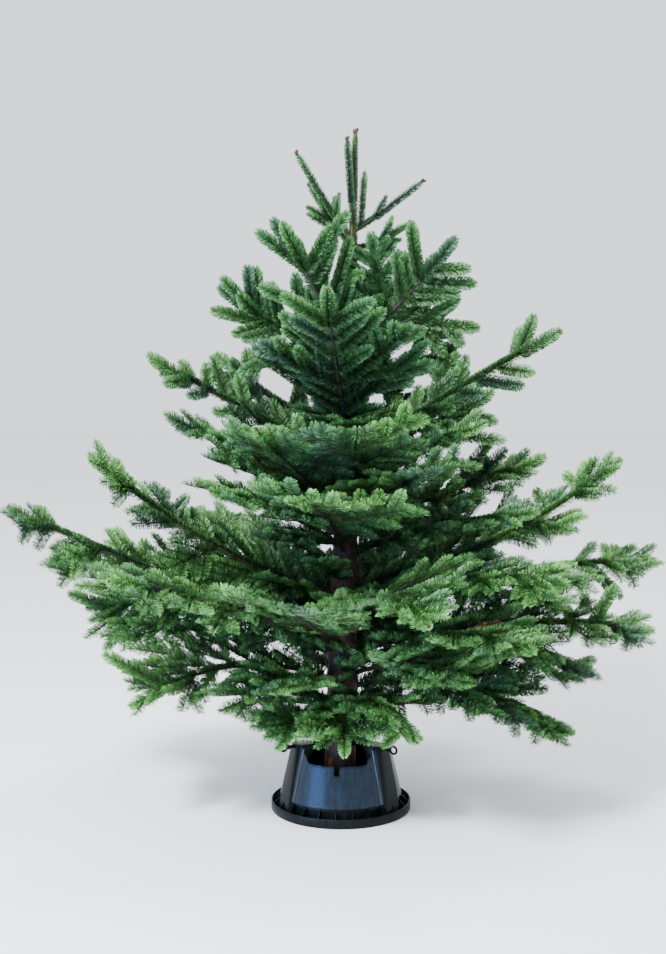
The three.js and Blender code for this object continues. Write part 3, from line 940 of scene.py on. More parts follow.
@dataclass
class BoughLine:
    """The line of a bough, from the middle of the trunk to its tip, and its flat spray's frame.

    On heavy boughs, which leave the trunk low, the side that the roll lifts turns less. Slender
    ones are the thin single shoots at the very top.
    """

    bough: Bough
    trunk: Trunk
    heavy_below: float = 900.0
    lifted_part: float = 0.3
    slender_above: float = 1450.0
    base_radius: float = 3.0
    radius_per_length: float = 0.0085
    tip_radius: float = 1.7

    def __post_init__(self) -> None:
        """Works out the line from the bough's named sizes."""
        bough, azimuth = self.bough, math.radians(self.bough.azimuth)
        self.root = self.trunk.centre(bough.height)
        self.tip = self.root + flat(azimuth) * bough.reach + UP * bough.rise
        self.middle = self.root.lerp(self.tip, 0.5) + UP * (2 * bough.bow * bough.reach)
        self.sideways = Vector((-math.sin(azimuth), math.cos(azimuth), 0.0))
        self.roll = math.radians(bough.roll)
        self.length = path_length([self.point(i / 200) for i in range(201)])
        self.base = self.base_radius + self.radius_per_length * self.length
        self.last = 1 - 1 / bough.years if bough.years > 1 else 0.3
        self.slender = bough.height > self.slender_above

    def point(self, t: float) -> Vector:
        """Gives the point at a part of the line, from 0 to 1."""
        return self.root * (1 - t) ** 2 + self.middle * (2 * t * (1 - t)) + self.tip * t**2

    def radius(self, t: float) -> float:
        """Gives the limb's radius there."""
        return self.base + (self.tip_radius - self.base) * t

    def frame(self, t: float, hand: int = 0) -> tuple[Vector, Vector, Vector, Vector]:
        """Gives the point, the heading, the spray's side and its upper face.

        Args:
            t: The part of the line.
            hand: Which side is wanted, -1 or 1, or 0 for the limb itself.

        Returns:
            The point and the three directions.
        """
        along = ((self.middle - self.root) * (1 - t) + (self.tip - self.middle) * t).normalized()
        heavy = self.bough.height < self.heavy_below and hand * self.roll > 0
        roll = self.roll * self.lifted_part if heavy else self.roll
        side = Quaternion(along, roll) @ self.sideways
        return self.point(t), along, side, along.cross(side)


@dataclass(frozen=True)
class Shoot:
    """One needle-clad shoot in mm: its line, its upper face and its stem, where it has one."""

    points: Sequence[Vector]
    face: Vector
    tone: Tone
    slim: float
    wrap: float
    base: float = 0.0
    tip: float = 0.0
    beyond: float = 0.0


@dataclass
class Growth:
    """The branching rule, written again from the part's source and carried to finer twigs.

    Lengths and heights in mm, angles in degrees. A sway is how far chance takes a size either
    way. Pairs of two numbers stand at the two heights, or cover the range, that their name says.
    """

    angle: float = 50.0
    angle_sway: float = 7.0
    length_sway: float = 0.14
    lift: float = 4.0
    lift_sway: float = 8.0
    crown_lift: float = 18.0
    twist: float = 16.0
    youngest: float = 0.25
    growth: float = 0.95
    between_share: float = 0.8
    longest_between: float = 150.0
    skirt_below: float = 380.0
    side_shoot: float = 0.3
    side_extra: float = 63.0
    side_turn: tuple[float, float] = (33.0, 46.0)
    side_turn_heights: tuple[float, float] = (700.0, 1000.0)
    side_raise: float = 5.0
    side_raise_sway: float = 10.0
    side_twist: float = 12.0
    shoot_spacing: float = 59.0
    spacing_sway: float = 0.12
    first_shoot: float = 0.16
    nearest_shoot: float = 24.0
    shortest: float = 74.0
    branching: tuple[float, float] = (110.0, 215.0)
    branching_heights: tuple[float, float] = (950.0, 1250.0)
    curl: float = 0.05
    curl_sway: float = 0.06
    shoot_base: float = 1.1
    shoot_base_per_length: float = 0.0085
    shoot_tip: float = 0.9
    samples: int = 6
    crossed: int = 2
    inner_angle: float = 58.0
    inner_length: float = 130.0
    inner_from: float = 60.0
    inner_spacing: float = 22.0
    upright_above: float = 1000.0
    upright_angle: float = 34.0
    upright_length: float = 88.0
    bud_size: float = 3.4
    slender_bud_size: float = 5.6
    leader_bud_size: float = 7.0
    needle_reach: float = 12.0
    wrap: float = 1.72
    under_wrap: float = 1.3
    limb_needles: float = 0.92
    slender_needles: float = 0.62
    crown_needles: float = 1.04
    leader_needles: float = 6.5
    clad_above: float = 1080.0
    crown_from: float = 1060.0
    trunk_shoot_heights: tuple[float, float] = (350.0, 1440.0)
    trunk_shoot_spacing: float = 19.0
    golden_turn: float = 137.5
    leader_from: float = 1280.0
    light_outside: float = 0.45
    light_below: float = 0.42
    light_by_chance: float = 0.5
    crown_shade: float = 0.08
    bright_below: float = 1150.0
    bright_over: float = 0.66
    fresh_over: float = 0.48
    middle_over: float = 0.22
    bluish_share: tuple[float, float] = (0.01, 0.26)
    less_bluish: float = 0.3
    one_lighter: float = 0.28
    one_deeper: float = 0.7
    dry_over: float = 0.998
    shoots: list[Shoot] = field(default_factory=list)
    tips: list[tuple[Vector, Vector, float]] = field(default_factory=list)

    def tone_for(self, seed: int, out: float, height: float) -> Tone:
        """Deals a green to one spray: outer and lower sprays are lighter, inner ones deep, as
        painted light and shade over the real lighter green of newer outer growth.

        Args:
            seed: The spray's own number.
            out: How far along its bough the spray stands, from 0 to 1.
            height: Its height in mm.

        Returns:
            The tone.
        """
        rise = height / 1800
        # Lighter greens for outer and lower sprays are painted light, and the darkening of the
        # crown above 900 mm is painted shade; chance adds a real spread of tone.
        score = self.light_outside * out + self.light_below * (1 - rise)
        score += self.light_by_chance * (chance(seed, 11) - 0.5)
        score -= ramped(height, (900, 1200), (0, self.crown_shade))
        if chance(seed, 12) < self.bluish_share[0] + self.bluish_share[1] * rise:
            return Tone.BLUISH
        if score > self.bright_over and height < self.bright_below:
            return Tone.BRIGHT
        if score > self.fresh_over:
            return Tone.FRESH
        return Tone.MIDDLE if score > self.middle_over else Tone.DEEP

    def near_tone(self, tone: Tone, seed: int) -> Tone:
        """Deals a side shoot its spray's green, or now and then the next lighter or deeper one.

        Args:
            tone: The spray's green.
            seed: The side shoot's own number.

        Returns:
            The tone.
        """
        pick = chance(seed, 13)
        if pick > self.dry_over:
            return Tone.DRY
        if tone is Tone.BLUISH:
            return Tone.MIDDLE if pick < self.less_bluish else tone
        order = [Tone.DEEP, Tone.MIDDLE, Tone.FRESH, Tone.BRIGHT]
        step = 1 if pick < self.one_lighter else -1 if pick > self.one_deeper else 0
        return order[min(max(order.index(tone) + step, 0), 3)]

    @staticmethod
    def at(points: Sequence[Vector], share: float) -> Vector:
        """Gives the point at a part of a line's pieces, from 0 to 1."""
        place = min(share * (len(points) - 1), len(points) - 1.001)
        low = int(place)
        return points[low].lerp(points[low + 1], place - low)

    def spray(
        self,
        start: Vector,
        heading: Vector,
        face: Vector,
        length: float,
        seed: int,
        tone: Tone,
        order: int,
        slender: bool = False,
        kept: bool = False,
    ) -> list[Vector]:
        """Grows a shoot and, while it is long enough, its own pairs of side shoots.

        Args:
            start: Where it leaves its branch.
            heading: Its direction.
            face: The side of its flat spray that faces up.
            length: Its length to the tips of its needles.
            seed: Its own number.
            tone: Its spray's green.
            order: 0 for a side branch, 1 for its side shoots, 2 for theirs.
            slender: Whether it is one of the thin single shoots at the very top.
            kept: Whether it stays even where it reaches into an opening.

        Returns:
            The shoot's own line.
        """
        own = max(length - self.needle_reach * (0.6 if slender else 1.0), 12.0)
        across = face.cross(heading).normalized()
        bend = face * (self.curl + self.curl_sway * sway(seed, 21))
        bend = Vector() if slender else bend + across * (self.curl * sway(seed, 22))
        pieces = 5 if own > 120 else 3
        steps = [i / pieces for i in range(pieces + 1)]
        points = [start + heading * (own * s) + bend * (own * s * s) for s in steps]
        samples = [self.at(points, i / self.samples) for i in range(1, self.samples + 1)]
        crossed = sum(any(gap.covers(p) for gap in OPENINGS) for p in samples)
        if not kept and crossed > self.crossed:
            return points
        slim = ramped(start.z, (1000, 1200), (1.0, self.crown_needles))
        slim = self.slender_needles if slender else slim
        base = self.shoot_base + self.shoot_base_per_length * length
        self.shoots.append(Shoot(points, face, tone, slim, self.wrap, base, self.shoot_tip))
        if slender:
            self.brush(points, heading, face, tone)
        elif kept or start.z > self.crown_from:
            self.shoots.append(Shoot(points, -face, tone, slim, self.under_wrap))
        if slender or order > 0 or length < ramped(
            start.z, self.branching_heights, self.branching
        ):
            return points
        count = 0
        place = max(self.first_shoot * length, self.nearest_shoot)
        while (usual := self.side_shoot * (length - place) + self.side_extra) > self.shortest:
            node = self.at(points, min(place / own, 0.99))
            for hand in (-1, 1):
                own_seed = seed * 7 + count * 2 + (hand + 1) // 2 + order * 131
                turn = ramped(start.z, self.side_turn_heights, self.side_turn)
                turn = math.radians(turn + self.angle_sway * sway(own_seed, 0))
                raised = math.radians(self.side_raise + self.side_raise_sway * sway(own_seed, 2))
                towards = swung(heading, across * hand, turn)
                towards = (towards + face * math.tan(raised)).normalized()
                twist = math.radians(self.side_twist * sway(own_seed, 3))
                turned = squared(Quaternion(towards, twist) @ face, towards)
                grown = usual * (1 + self.length_sway * sway(own_seed, 1))
                own_tone = self.near_tone(tone, own_seed)
                self.spray(node, towards, turned, grown, own_seed, own_tone, order + 1)
            place += self.shoot_spacing * (1 + self.spacing_sway * sway(seed, 30 + count))
            count += 1
        return points

    def brush(self, points: Sequence[Vector], heading: Vector, face: Vector, tone: Tone) -> None:
        """Adds needles on the other sides of a slender shoot, which has them all round.

        Args:
            points: The shoot's line.
            heading: Its direction.
            face: Its upper side.
            tone: Its green.
        """
        for turn in (120, 240):
            other = Quaternion(heading, math.radians(turn)) @ face
            self.shoots.append(Shoot(points, other, tone, self.slender_needles, self.under_wrap))

    def bough(self, line: BoughLine) -> None:
        """Grows one bough: pairs at each year's node, smaller pairs between, and its end.

        Args:
            line: The bough's line.
        """
        bough, last = line.bough, line.last
        nodes = [k / bough.years for k in range(bough.bare + 1, bough.years)]
        for count, node in enumerate(nodes):
            self.pair(line, node, count, 1.0)
        if not line.slender:
            part = 1.0 if bough.height < self.skirt_below else self.between_share
            for count, node in enumerate([*nodes, last + 0.08]):
                self.pair(line, node - 0.5 / bough.years, count + 20, part)
        if bough.height > self.upright_above:
            for count, node in enumerate([*nodes, last]):
                self.upright(line, node, count)
        self.inner(line, nodes[0] if nodes else last)
        point, _, _, face = line.frame(last)
        towards = line.point(1.0) - point
        tone = self.tone_for(bough.seed + 901, 0.95, point.z)
        length, towards = towards.length, towards.normalized()
        seed = bough.seed + 902
        end = self.spray(point, towards, face, length, seed, tone, 0, line.slender, kept=True)
        heading = (end[-1] - end[-2]).normalized()
        size = self.slender_bud_size if line.slender else self.bud_size
        self.tips.append((end[-1] + heading * 3, heading, size))
        self.clad_limb(line)
        for count, (name, place, *tip) in enumerate(SINGLES):
            if name == bough.name:
                start, _, _, face = line.frame(place)
                heading = Vector(tip) - start
                length = heading.length + self.needle_reach * 0.4
                heading.normalize()
                seed = bough.seed + 950 + count
                tone = self.tone_for(seed, place, start.z)
                order = 0 if length > self.branching[1] else 1
                turned = squared(face, heading)
                self.spray(
                    start, heading, turned, length, seed, tone, order, line.slender, kept=True
                )

    def pair(self, line: BoughLine, node: float, count: int, part: float) -> None:
        """Grows a pair of side branches on a bough.

        Args:
            line: The bough's line.
            node: The place, as a part of its length.
            count: The pair's number.
            part: Their length against that of a full pair.
        """
        bough = line.bough
        full = bough.spread * line.length * (self.youngest + self.growth * (1 - node))
        if part != 1.0:
            full = min(full, self.longest_between, 1900 - line.point(node).z)
        lift = self.lift + ramped(bough.height, (1150, 1400), (0, self.crown_lift))
        for hand in (-1, 1):
            point, along, side, face = line.frame(node, hand)
            seed = bough.seed + count * 16 + (hand + 1) * 4
            angle = math.radians(self.angle + self.angle_sway * sway(seed, 0))
            raised = math.radians(lift + self.lift_sway * sway(seed, 2))
            heading = swung(along, side * hand, angle)
            heading = (heading + face * math.tan(raised)).normalized()
            length = full * (1 + self.length_sway * sway(seed, 1)) * part
            twist = math.radians(self.twist * sway(seed, 3))
            turned = squared(Quaternion(heading, twist) @ face, heading)
            tone = self.tone_for(seed, node, point.z)
            order = 0 if part == 1.0 else 2
            self.spray(point, heading, turned, length, seed, tone, order, line.slender)

    def inner(self, line: BoughLine, end: float) -> None:
        """Grows the short shaded shoots between the trunk and a bough's first pair.

        Args:
            line: The bough's line.
            end: Where the first pair stands, as a part of its length.
        """
        if line.slender:
            return
        places = np.arange(self.inner_from, end * line.length - 20, self.inner_spacing)
        for count, place in enumerate(places):
            seed = line.bough.seed + 600 + count * 2
            hand = 1 if count % 2 else -1
            point, along, side, face = line.frame(float(place) / line.length)
            turn = math.radians(self.inner_angle + 14 * sway(seed, 0))
            heading = swung(along, side * hand, turn)
            heading = (heading + face * (0.5 * sway(seed, 1))).normalized()
            length = self.inner_length * (1 + 0.3 * sway(seed, 2))
            tone = Tone.DEEP if chance(seed, 14) < 0.5 else Tone.MIDDLE
            self.spray(point, heading, squared(face, heading), length, seed, tone, 2)

    def upright(self, line: BoughLine, node: float, count: int) -> None:
        """Grows the single shoot that stands up between a pair on the upper boughs.

        Args:
            line: The bough's line.
            node: The place, as a part of its length.
            count: The shoot's number.
        """
        seed = line.bough.seed + 800 + count * 4
        point, along, side, face = line.frame(node)
        angle = math.radians(self.upright_angle + 8 * sway(seed, 0))
        heading = swung(along, face, angle) + side * (0.25 * sway(seed, 2))
        heading.normalize()
        length = self.upright_length * (1 + 0.25 * sway(seed, 1)) * (0.7 if line.slender else 1)
        turned, tone = squared(face, heading), self.tone_for(seed, node, point.z)
        self.spray(point, heading, turned, length, seed, tone, 2, line.slender)

    def clad_limb(self, line: BoughLine) -> None:
        """Clads the outer part of a bough's own stem with needles.

        Args:
            line: The bough's line.
        """
        bough, last = line.bough, line.last
        start = min(last, (bough.bare + 0.4) / bough.years if bough.bare else 0.16)
        if bough.height > self.clad_above:
            start = 0.06 if line.slender else 0.1
        steps = 4
        if last - start < 0.01 * steps:
            return
        for piece in range(steps):
            low = start + (last - start) * piece / steps
            high = start + (last - start) * (piece + 1) / steps
            points = [line.point(low + (high - low) * i / 3) for i in range(4)]
            middle = (low + high) / 2
            _, heading, _, face = line.frame(middle)
            tone = self.tone_for(bough.seed + 700 + piece, middle, points[0].z)
            slim = self.slender_needles if line.slender else self.limb_needles
            for wrap in (self.wrap, 0.0):
                self.shoots.append(Shoot(points, face, tone, slim, wrap, beyond=100.0))
            if line.slender:
                self.brush(points, heading, face, tone)

    def trunk_shoots(self, trunk: Trunk) -> None:
        """Grows the shaded shoots that leave the trunk itself between its whorls.

        Args:
            trunk: The stem.
        """
        dealt = (Tone.DEEP, Tone.MIDDLE, Tone.MIDDLE, Tone.FRESH)
        heights = np.arange(*self.trunk_shoot_heights, self.trunk_shoot_spacing)
        for count, height in enumerate(map(float, heights)):
            seed = 90000 + count * 4
            outward = flat(math.radians(self.golden_turn * count + 12 * sway(seed, 0)))
            start = trunk.centre(height) + outward * (trunk.radius(height) - 3)
            heading = (outward + UP * (0.35 + 0.3 * sway(seed, 1))).normalized()
            face = (UP - heading * heading.z).normalized()
            length = ramped(height, (400, 600, 900, 1150, 1600), (170, 250, 230, 130, 70))
            length *= 1 + 0.25 * sway(seed, 2)
            self.spray(start, heading, face, length, seed, dealt[int(4 * chance(seed, 3))], 0)

    def leader(self, trunk: Trunk) -> None:
        """Clads the trunk's young top with short needles all round.

        Args:
            trunk: The stem.
        """
        top = trunk.foot + trunk.taper[-1][0] - 12
        self.tips.append((trunk.centre(top + 2), UP, self.leader_bud_size))
        steps = [float(height) for height in np.linspace(self.leader_from, top, 13)]
        for low, high in zip(steps, steps[1:]):
            points = [trunk.centre(low), trunk.centre(high)]
            slim = (trunk.radius(low) + self.leader_needles) / 21
            for turn in range(5):
                face = flat(2 * math.pi * turn / 5 + 0.4)
                self.shoots.append(
                    Shoot(points, face, Tone.MIDDLE, slim, 0.8, beyond=top - high)
                )


# ---- Needles, twigs and buds ----


@dataclass
class Foliage:
    """The needle-clad sprays of the whole crown, made from the grown shoots."""

    growth: Growth
    masses: Sequence[str]
    needle_length: float = 20.5
    needle_width: float = 2.5
    needle_foot: float = 0.75
    needle_twist: float = 0.25
    spacing: float = 0.62
    lean: float = 1.04
    lean_sway: float = 0.07
    parting: float = 0.25
    length_sway: float = 0.08
    tip_reach: float = 20.0
    fresh_lit_reach: float = 95.0
    per_piece: int = 188000
    stem_sides: int = 3
    bud_sides: int = 6
    bud_rings: tuple[tuple[float, float], ...] = (
        (0.0, 0.3), (0.5, 0.72), (1.1, 0.7), (1.7, 0.35), (2.0, 0.02),
    )  # fmt: skip

    def needle(self) -> Object:
        """Makes one needle along +Y: a flat blunt blade of two faces, with a slight twist.

        Returns:
            The pattern object, which the finished pieces don't use.
        """
        length, half, twist = self.needle_length, self.needle_width / 2, self.needle_twist
        foot = half * self.needle_foot
        corners = ((-foot, 0, -twist), (foot, 0, twist), (half, length, -twist),
                   (-half, length, twist))  # fmt: skip
        scaled = [[c * MM for c in corner] for corner in corners]
        made = mesh_object("needle_pattern", scaled, [(0, 1, 2), (0, 2, 3)], smooth=False)
        along = made.data.attributes.new("along", "FLOAT", "POINT")
        along.data.foreach_set("value", [0.0, 0.0, 1.0, 1.0])
        return made

    def lines(self, name: str, shoots: Sequence[Shoot]) -> Object:
        """Makes shoot lines as loose edges, with what the geometry trees read on them.

        Args:
            name: The object's name.
            shoots: The shoots.

        Returns:
            The object.
        """
        points, edges = [], []
        marks = {"face": [], "slim": [], "wrap": [], "girth": [], "left": []}
        for shoot in shoots:
            first, count = len(points), len(shoot.points)
            whole = (shoot.points[-1] - shoot.points[0]).length
            for i in range(count):
                part = i / (count - 1)
                marks["face"].extend(shoot.face)
                marks["slim"].append(shoot.slim)
                marks["wrap"].append(shoot.wrap)
                marks["left"].append(MM * (whole * (1 - part) + shoot.beyond))
                marks["girth"].append(MM * (shoot.base + (shoot.tip - shoot.base) * part))
            points.extend(shoot.points)
            edges.extend((first + i, first + i + 1) for i in range(count - 1))
        return marked_points(name, points, edges, **marks)

    def batches(self, shoots: Sequence[Shoot]) -> list[list[Shoot]]:
        """Splits shoots into runs whose needles stay within one piece.

        Args:
            shoots: The shoots.

        Returns:
            The runs.
        """
        weights = [2 / self.spacing * path_length(shoot.points) for shoot in shoots]
        pieces = max(1, math.ceil(sum(weights) / self.per_piece))
        share = sum(weights) / pieces
        runs: list[list[Shoot]] = [[] for _ in range(pieces)]
        total = 0.0
        for shoot, weight in zip(shoots, weights):
            runs[min(pieces - 1, int(total / share))].append(shoot)
            total += weight
        return runs

    def build_needles(self) -> None:
        """Makes the needle pieces, one or more for each green."""
        pattern, tree = self.needle(), needle_tree()
        for number, tone in enumerate(Tone):
            shoots = [shoot for shoot in self.growth.shoots if shoot.tone is tone]
            finish = tone.value.material()
            for count, run in enumerate(self.batches(shoots)):
                name = f"{tone.value.name}_{count + 1}"
                values = {
                    "Spacing": self.spacing * MM,
                    "Needle": pattern,
                    "Lean": self.lean,
                    "Lean Sway": self.lean_sway,
                    "Parting": self.parting,
                    "Length Sway": self.length_sway,
                    "Tip Reach": self.tip_reach * MM,
                    "Fresh Reach": self.fresh_lit_reach * MM,
                    "Seed": 100 * number + count,
                    "Finish": finish,
                }
                piece = run_tree(self.lines(name + "_lines", run), tree, values, name)
                finish_piece(piece, self.masses)
        discard(pattern)

    def build_twigs(self, finish: Material) -> None:
        """Makes the woody stems of the shoots, in the twigs' bark."""
        piece = self.lines("twig_lines", [shoot for shoot in self.growth.shoots if shoot.base])
        values = {"Sides": self.stem_sides, "Finish": finish}
        finish_piece(run_tree(piece, stem_tree(), values, "twigs"), self.masses)

    def bud(self) -> Object:
        """Makes one cluster of three scaly buds, each a pointed egg 2 units high.

        Returns:
            The pattern object, which the finished piece doesn't use.
        """
        sides, points, faces = self.bud_sides, [], []
        for egg in range(3):
            foot = flat(2 * math.pi * egg / 3) * 0.55
            faces += tube_faces(len(self.bud_rings), sides, len(points))
            for height, radius in self.bud_rings:
                splay = foot * (0.5 + 0.5 * height)
                for i in range(sides):
                    rim = splay + flat(2 * math.pi * i / sides) * radius
                    points.append((rim.x, rim.y, height - 0.35 * egg))
        return mesh_object("bud_pattern", points, faces)

    def build_buds(self, finish: Material) -> None:
        """Sets the winter buds, in their scales' finish, on the boughs' and the leader's tips."""
        points, headings, sizes = zip(*self.growth.tips)
        face = [c for heading in headings for c in heading]
        spots = marked_points("bud_points", points, [], face=face, girth=[s * MM for s in sizes])
        pattern = self.bud()
        buds = run_tree(spots, bud_tree(), {"Bud": pattern, "Finish": finish}, "winter_buds")
        discard(pattern)
        finish_piece(buds, self.masses)


# ---- Trunk and limbs ----


@dataclass
class Woodwork:
    """The trunk and the boughs' bare wood, with the relief of their bark."""

    trunk: Trunk
    lines: list[BoughLine]
    ring_step: float = 7.0
    trunk_sides: int = 72
    limb_step: float = 13.0
    limb_sides: int = 9
    furrow: float = 1.3
    collar: float = 7.0
    collar_reach: float = 26.0
    rough_radius: float = 30.0
    bud_rings: tuple[float, ...] = (26, 19, 13, 9, 5, 2, 0.4)

    def __post_init__(self) -> None:
        """Notes each bough's heading where it leaves the trunk."""
        self.headings = {line.bough.name: line.frame(0.02)[1] for line in self.lines}

    def relief(self, point: Vector, height: float) -> float:
        """Gives how far the bark stands out at a point in mm: plates, furrows and blisters.

        Args:
            point: The point on the smooth stem.
            height: Its height.

        Returns:
            The distance.
        """
        stretched = Vector((point.x, point.y, height * 0.3))
        plates = noise.noise(stretched / 17) + 0.6 * noise.noise(stretched / 7)
        blisters = max(0.0, noise.noise(point / 9 + Vector((7, 3, 1))) - 0.35) * 2.2
        return self.furrow * (0.7 * plates + blisters)

    def swell(self, point: Vector, height: float, radius: float) -> float:
        """Gives how much the stem thickens, from 0 to 1, where a bough leaves it.

        Args:
            point: The point on the smooth stem.
            height: Its height.
            radius: The stem's radius there.

        Returns:
            The part of a full collar.
        """
        most = 0.0
        for line in self.lines:
            if abs(line.root.z - height) < 60:
                off = point - (line.root + self.headings[line.bough.name] * radius)
                reach = self.collar_reach * line.base / 10
                most = max(most, math.exp(-off.length_squared / reach**2))
        return most

    def trunk_mesh(self) -> tuple[list[Vector], list[list[int]]]:
        """Lofts the trunk from its flat cut to its bud.

        Returns:
            Its points in mm and its faces.
        """
        top = self.trunk.foot + self.trunk.taper[-1][0]
        heights = list(np.arange(self.trunk.foot, top - 30, self.ring_step))
        heights += [top - down for down in self.bud_rings]
        points = []
        for level, height in enumerate(heights):
            centre, radius = self.trunk.centre(height), self.trunk.radius(height)
            rough = min(1.0, radius / self.rough_radius)
            for i in range(self.trunk_sides):
                outward = flat(2 * math.pi * i / self.trunk_sides)
                point = centre + outward * radius
                swell = self.collar * self.swell(point, height, radius)
                extra = self.relief(point, height) * rough + swell * rough if level else -0.5
                points.append(centre + outward * max(0.6, radius + extra))
        return points, tube_faces(len(heights), self.trunk_sides)

    def limb_mesh(
        self, line: BoughLine, seed: int, first: int
    ) -> tuple[list[Vector], list[list[int]]]:
        """Lofts one limb along its bough's line, from inside the trunk to its end.

        Args:
            line: The bough's line.
            seed: The bough's own number.
            first: The number of its first point.

        Returns:
            Its points in mm and its faces.
        """
        steps = max(8, int(line.length / self.limb_step))
        points = []
        shift = Vector((seed % 97, seed % 31, 0))
        for level in range(steps + 1):
            t = line.last * level / steps
            point, _, side, face = line.frame(t)
            radius = line.radius(t) * (1 + 0.5 * math.exp(-((level * self.limb_step / 38) ** 2)))
            for i in range(self.limb_sides):
                outward = swung(side, face, 2 * math.pi * i / self.limb_sides)
                rough = 0.16 * noise.noise((point + outward * radius) / 9 + shift)
                points.append(point + outward * radius * (1 + rough))
        return points, tube_faces(steps + 1, self.limb_sides, first)

    def build(self, finish: Material, limb_finish: Material) -> None:
        """Makes the trunk's bark mesh, and one for all the limbs.

        Args:
            finish: The trunk's bark.
            limb_finish: The limbs' bark.
        """
        piece = closed_object("trunk_bark", *self.trunk_mesh(), finish)
        finish_piece(piece, ["trunk"])
        points, faces = [], []
        for number, line in enumerate(self.lines):
            more, more_faces = self.limb_mesh(line, 1000 * (number + 1), len(points))
            points += more
            faces += more_faces
        piece = closed_object("limb_bark", points, faces, limb_finish)
        finish_piece(piece, node_names("bough_"))


@dataclass
class PeeledStrip:
    """The torn strip of bark, in mm, that curls off the trunk's front just above the stand."""

    trunk: Trunk
    azimuth: float = -38.0
    low: float = 108.0
    high: float = 146.0
    width: float = 15.0
    thickness: float = 1.6
    curl: float = 5.0
    across: int = 6
    up: int = 9

    def build(self, finish: Material) -> None:
        """Makes the strip, of bared inner bark, as a closed sheet that lifts at its lower end."""
        across, up = self.across, self.up
        points = []
        for layer in (0.0, self.thickness):
            for j in range(up + 1):
                part = j / up
                height = self.low + (self.high - self.low) * part
                middle = self.trunk.centre(height)
                radius = self.trunk.radius(height) + 0.8 + layer + self.curl * (1 - part) ** 3
                half = self.width / 2 * (0.55 + 0.45 * math.sin(2.6 * part + 0.3))
                for i in range(across + 1):
                    ragged = 1.4 * noise.noise(Vector((i * 0.7, j * 0.9, 3.1)))
                    offset = (2 * i / across - 1) * half + ragged
                    a = math.radians(self.azimuth - 90) + offset / radius
                    points.append(middle + flat(a) * radius)
        row, layer_size = across + 1, (across + 1) * (up + 1)
        faces = []
        for j in range(up):
            for i in range(across):
                quad = [j * row + i, j * row + i + 1, (j + 1) * row + i + 1, (j + 1) * row + i]
                faces.append([layer_size + c for c in quad])
                faces.append(list(reversed(quad)))
        rim = [*range(row), *(j * row + across for j in range(1, up + 1))]
        rim += [up * row + i for i in reversed(range(across))]
        rim += [j * row for j in reversed(range(1, up))]
        for a, b in zip(rim, rim[1:] + rim[:1]):
            faces.append([a, b, layer_size + b, layer_size + a])
        piece = closed_object("peeled_strip", points, faces, finish)
        finish_piece(piece, ["trunk"])


# ---- The stand ----


def stand_point(azimuth: float, radial: float, tangential: float, height: float) -> Vector:
    """Gives a point, in mm, by azimuth from the front, radial and tangential distance."""
    a = math.radians(azimuth - 90)
    x = radial * math.cos(a) - tangential * math.sin(a)
    y = radial * math.sin(a) + tangential * math.cos(a)
    return Vector((x, y, height))


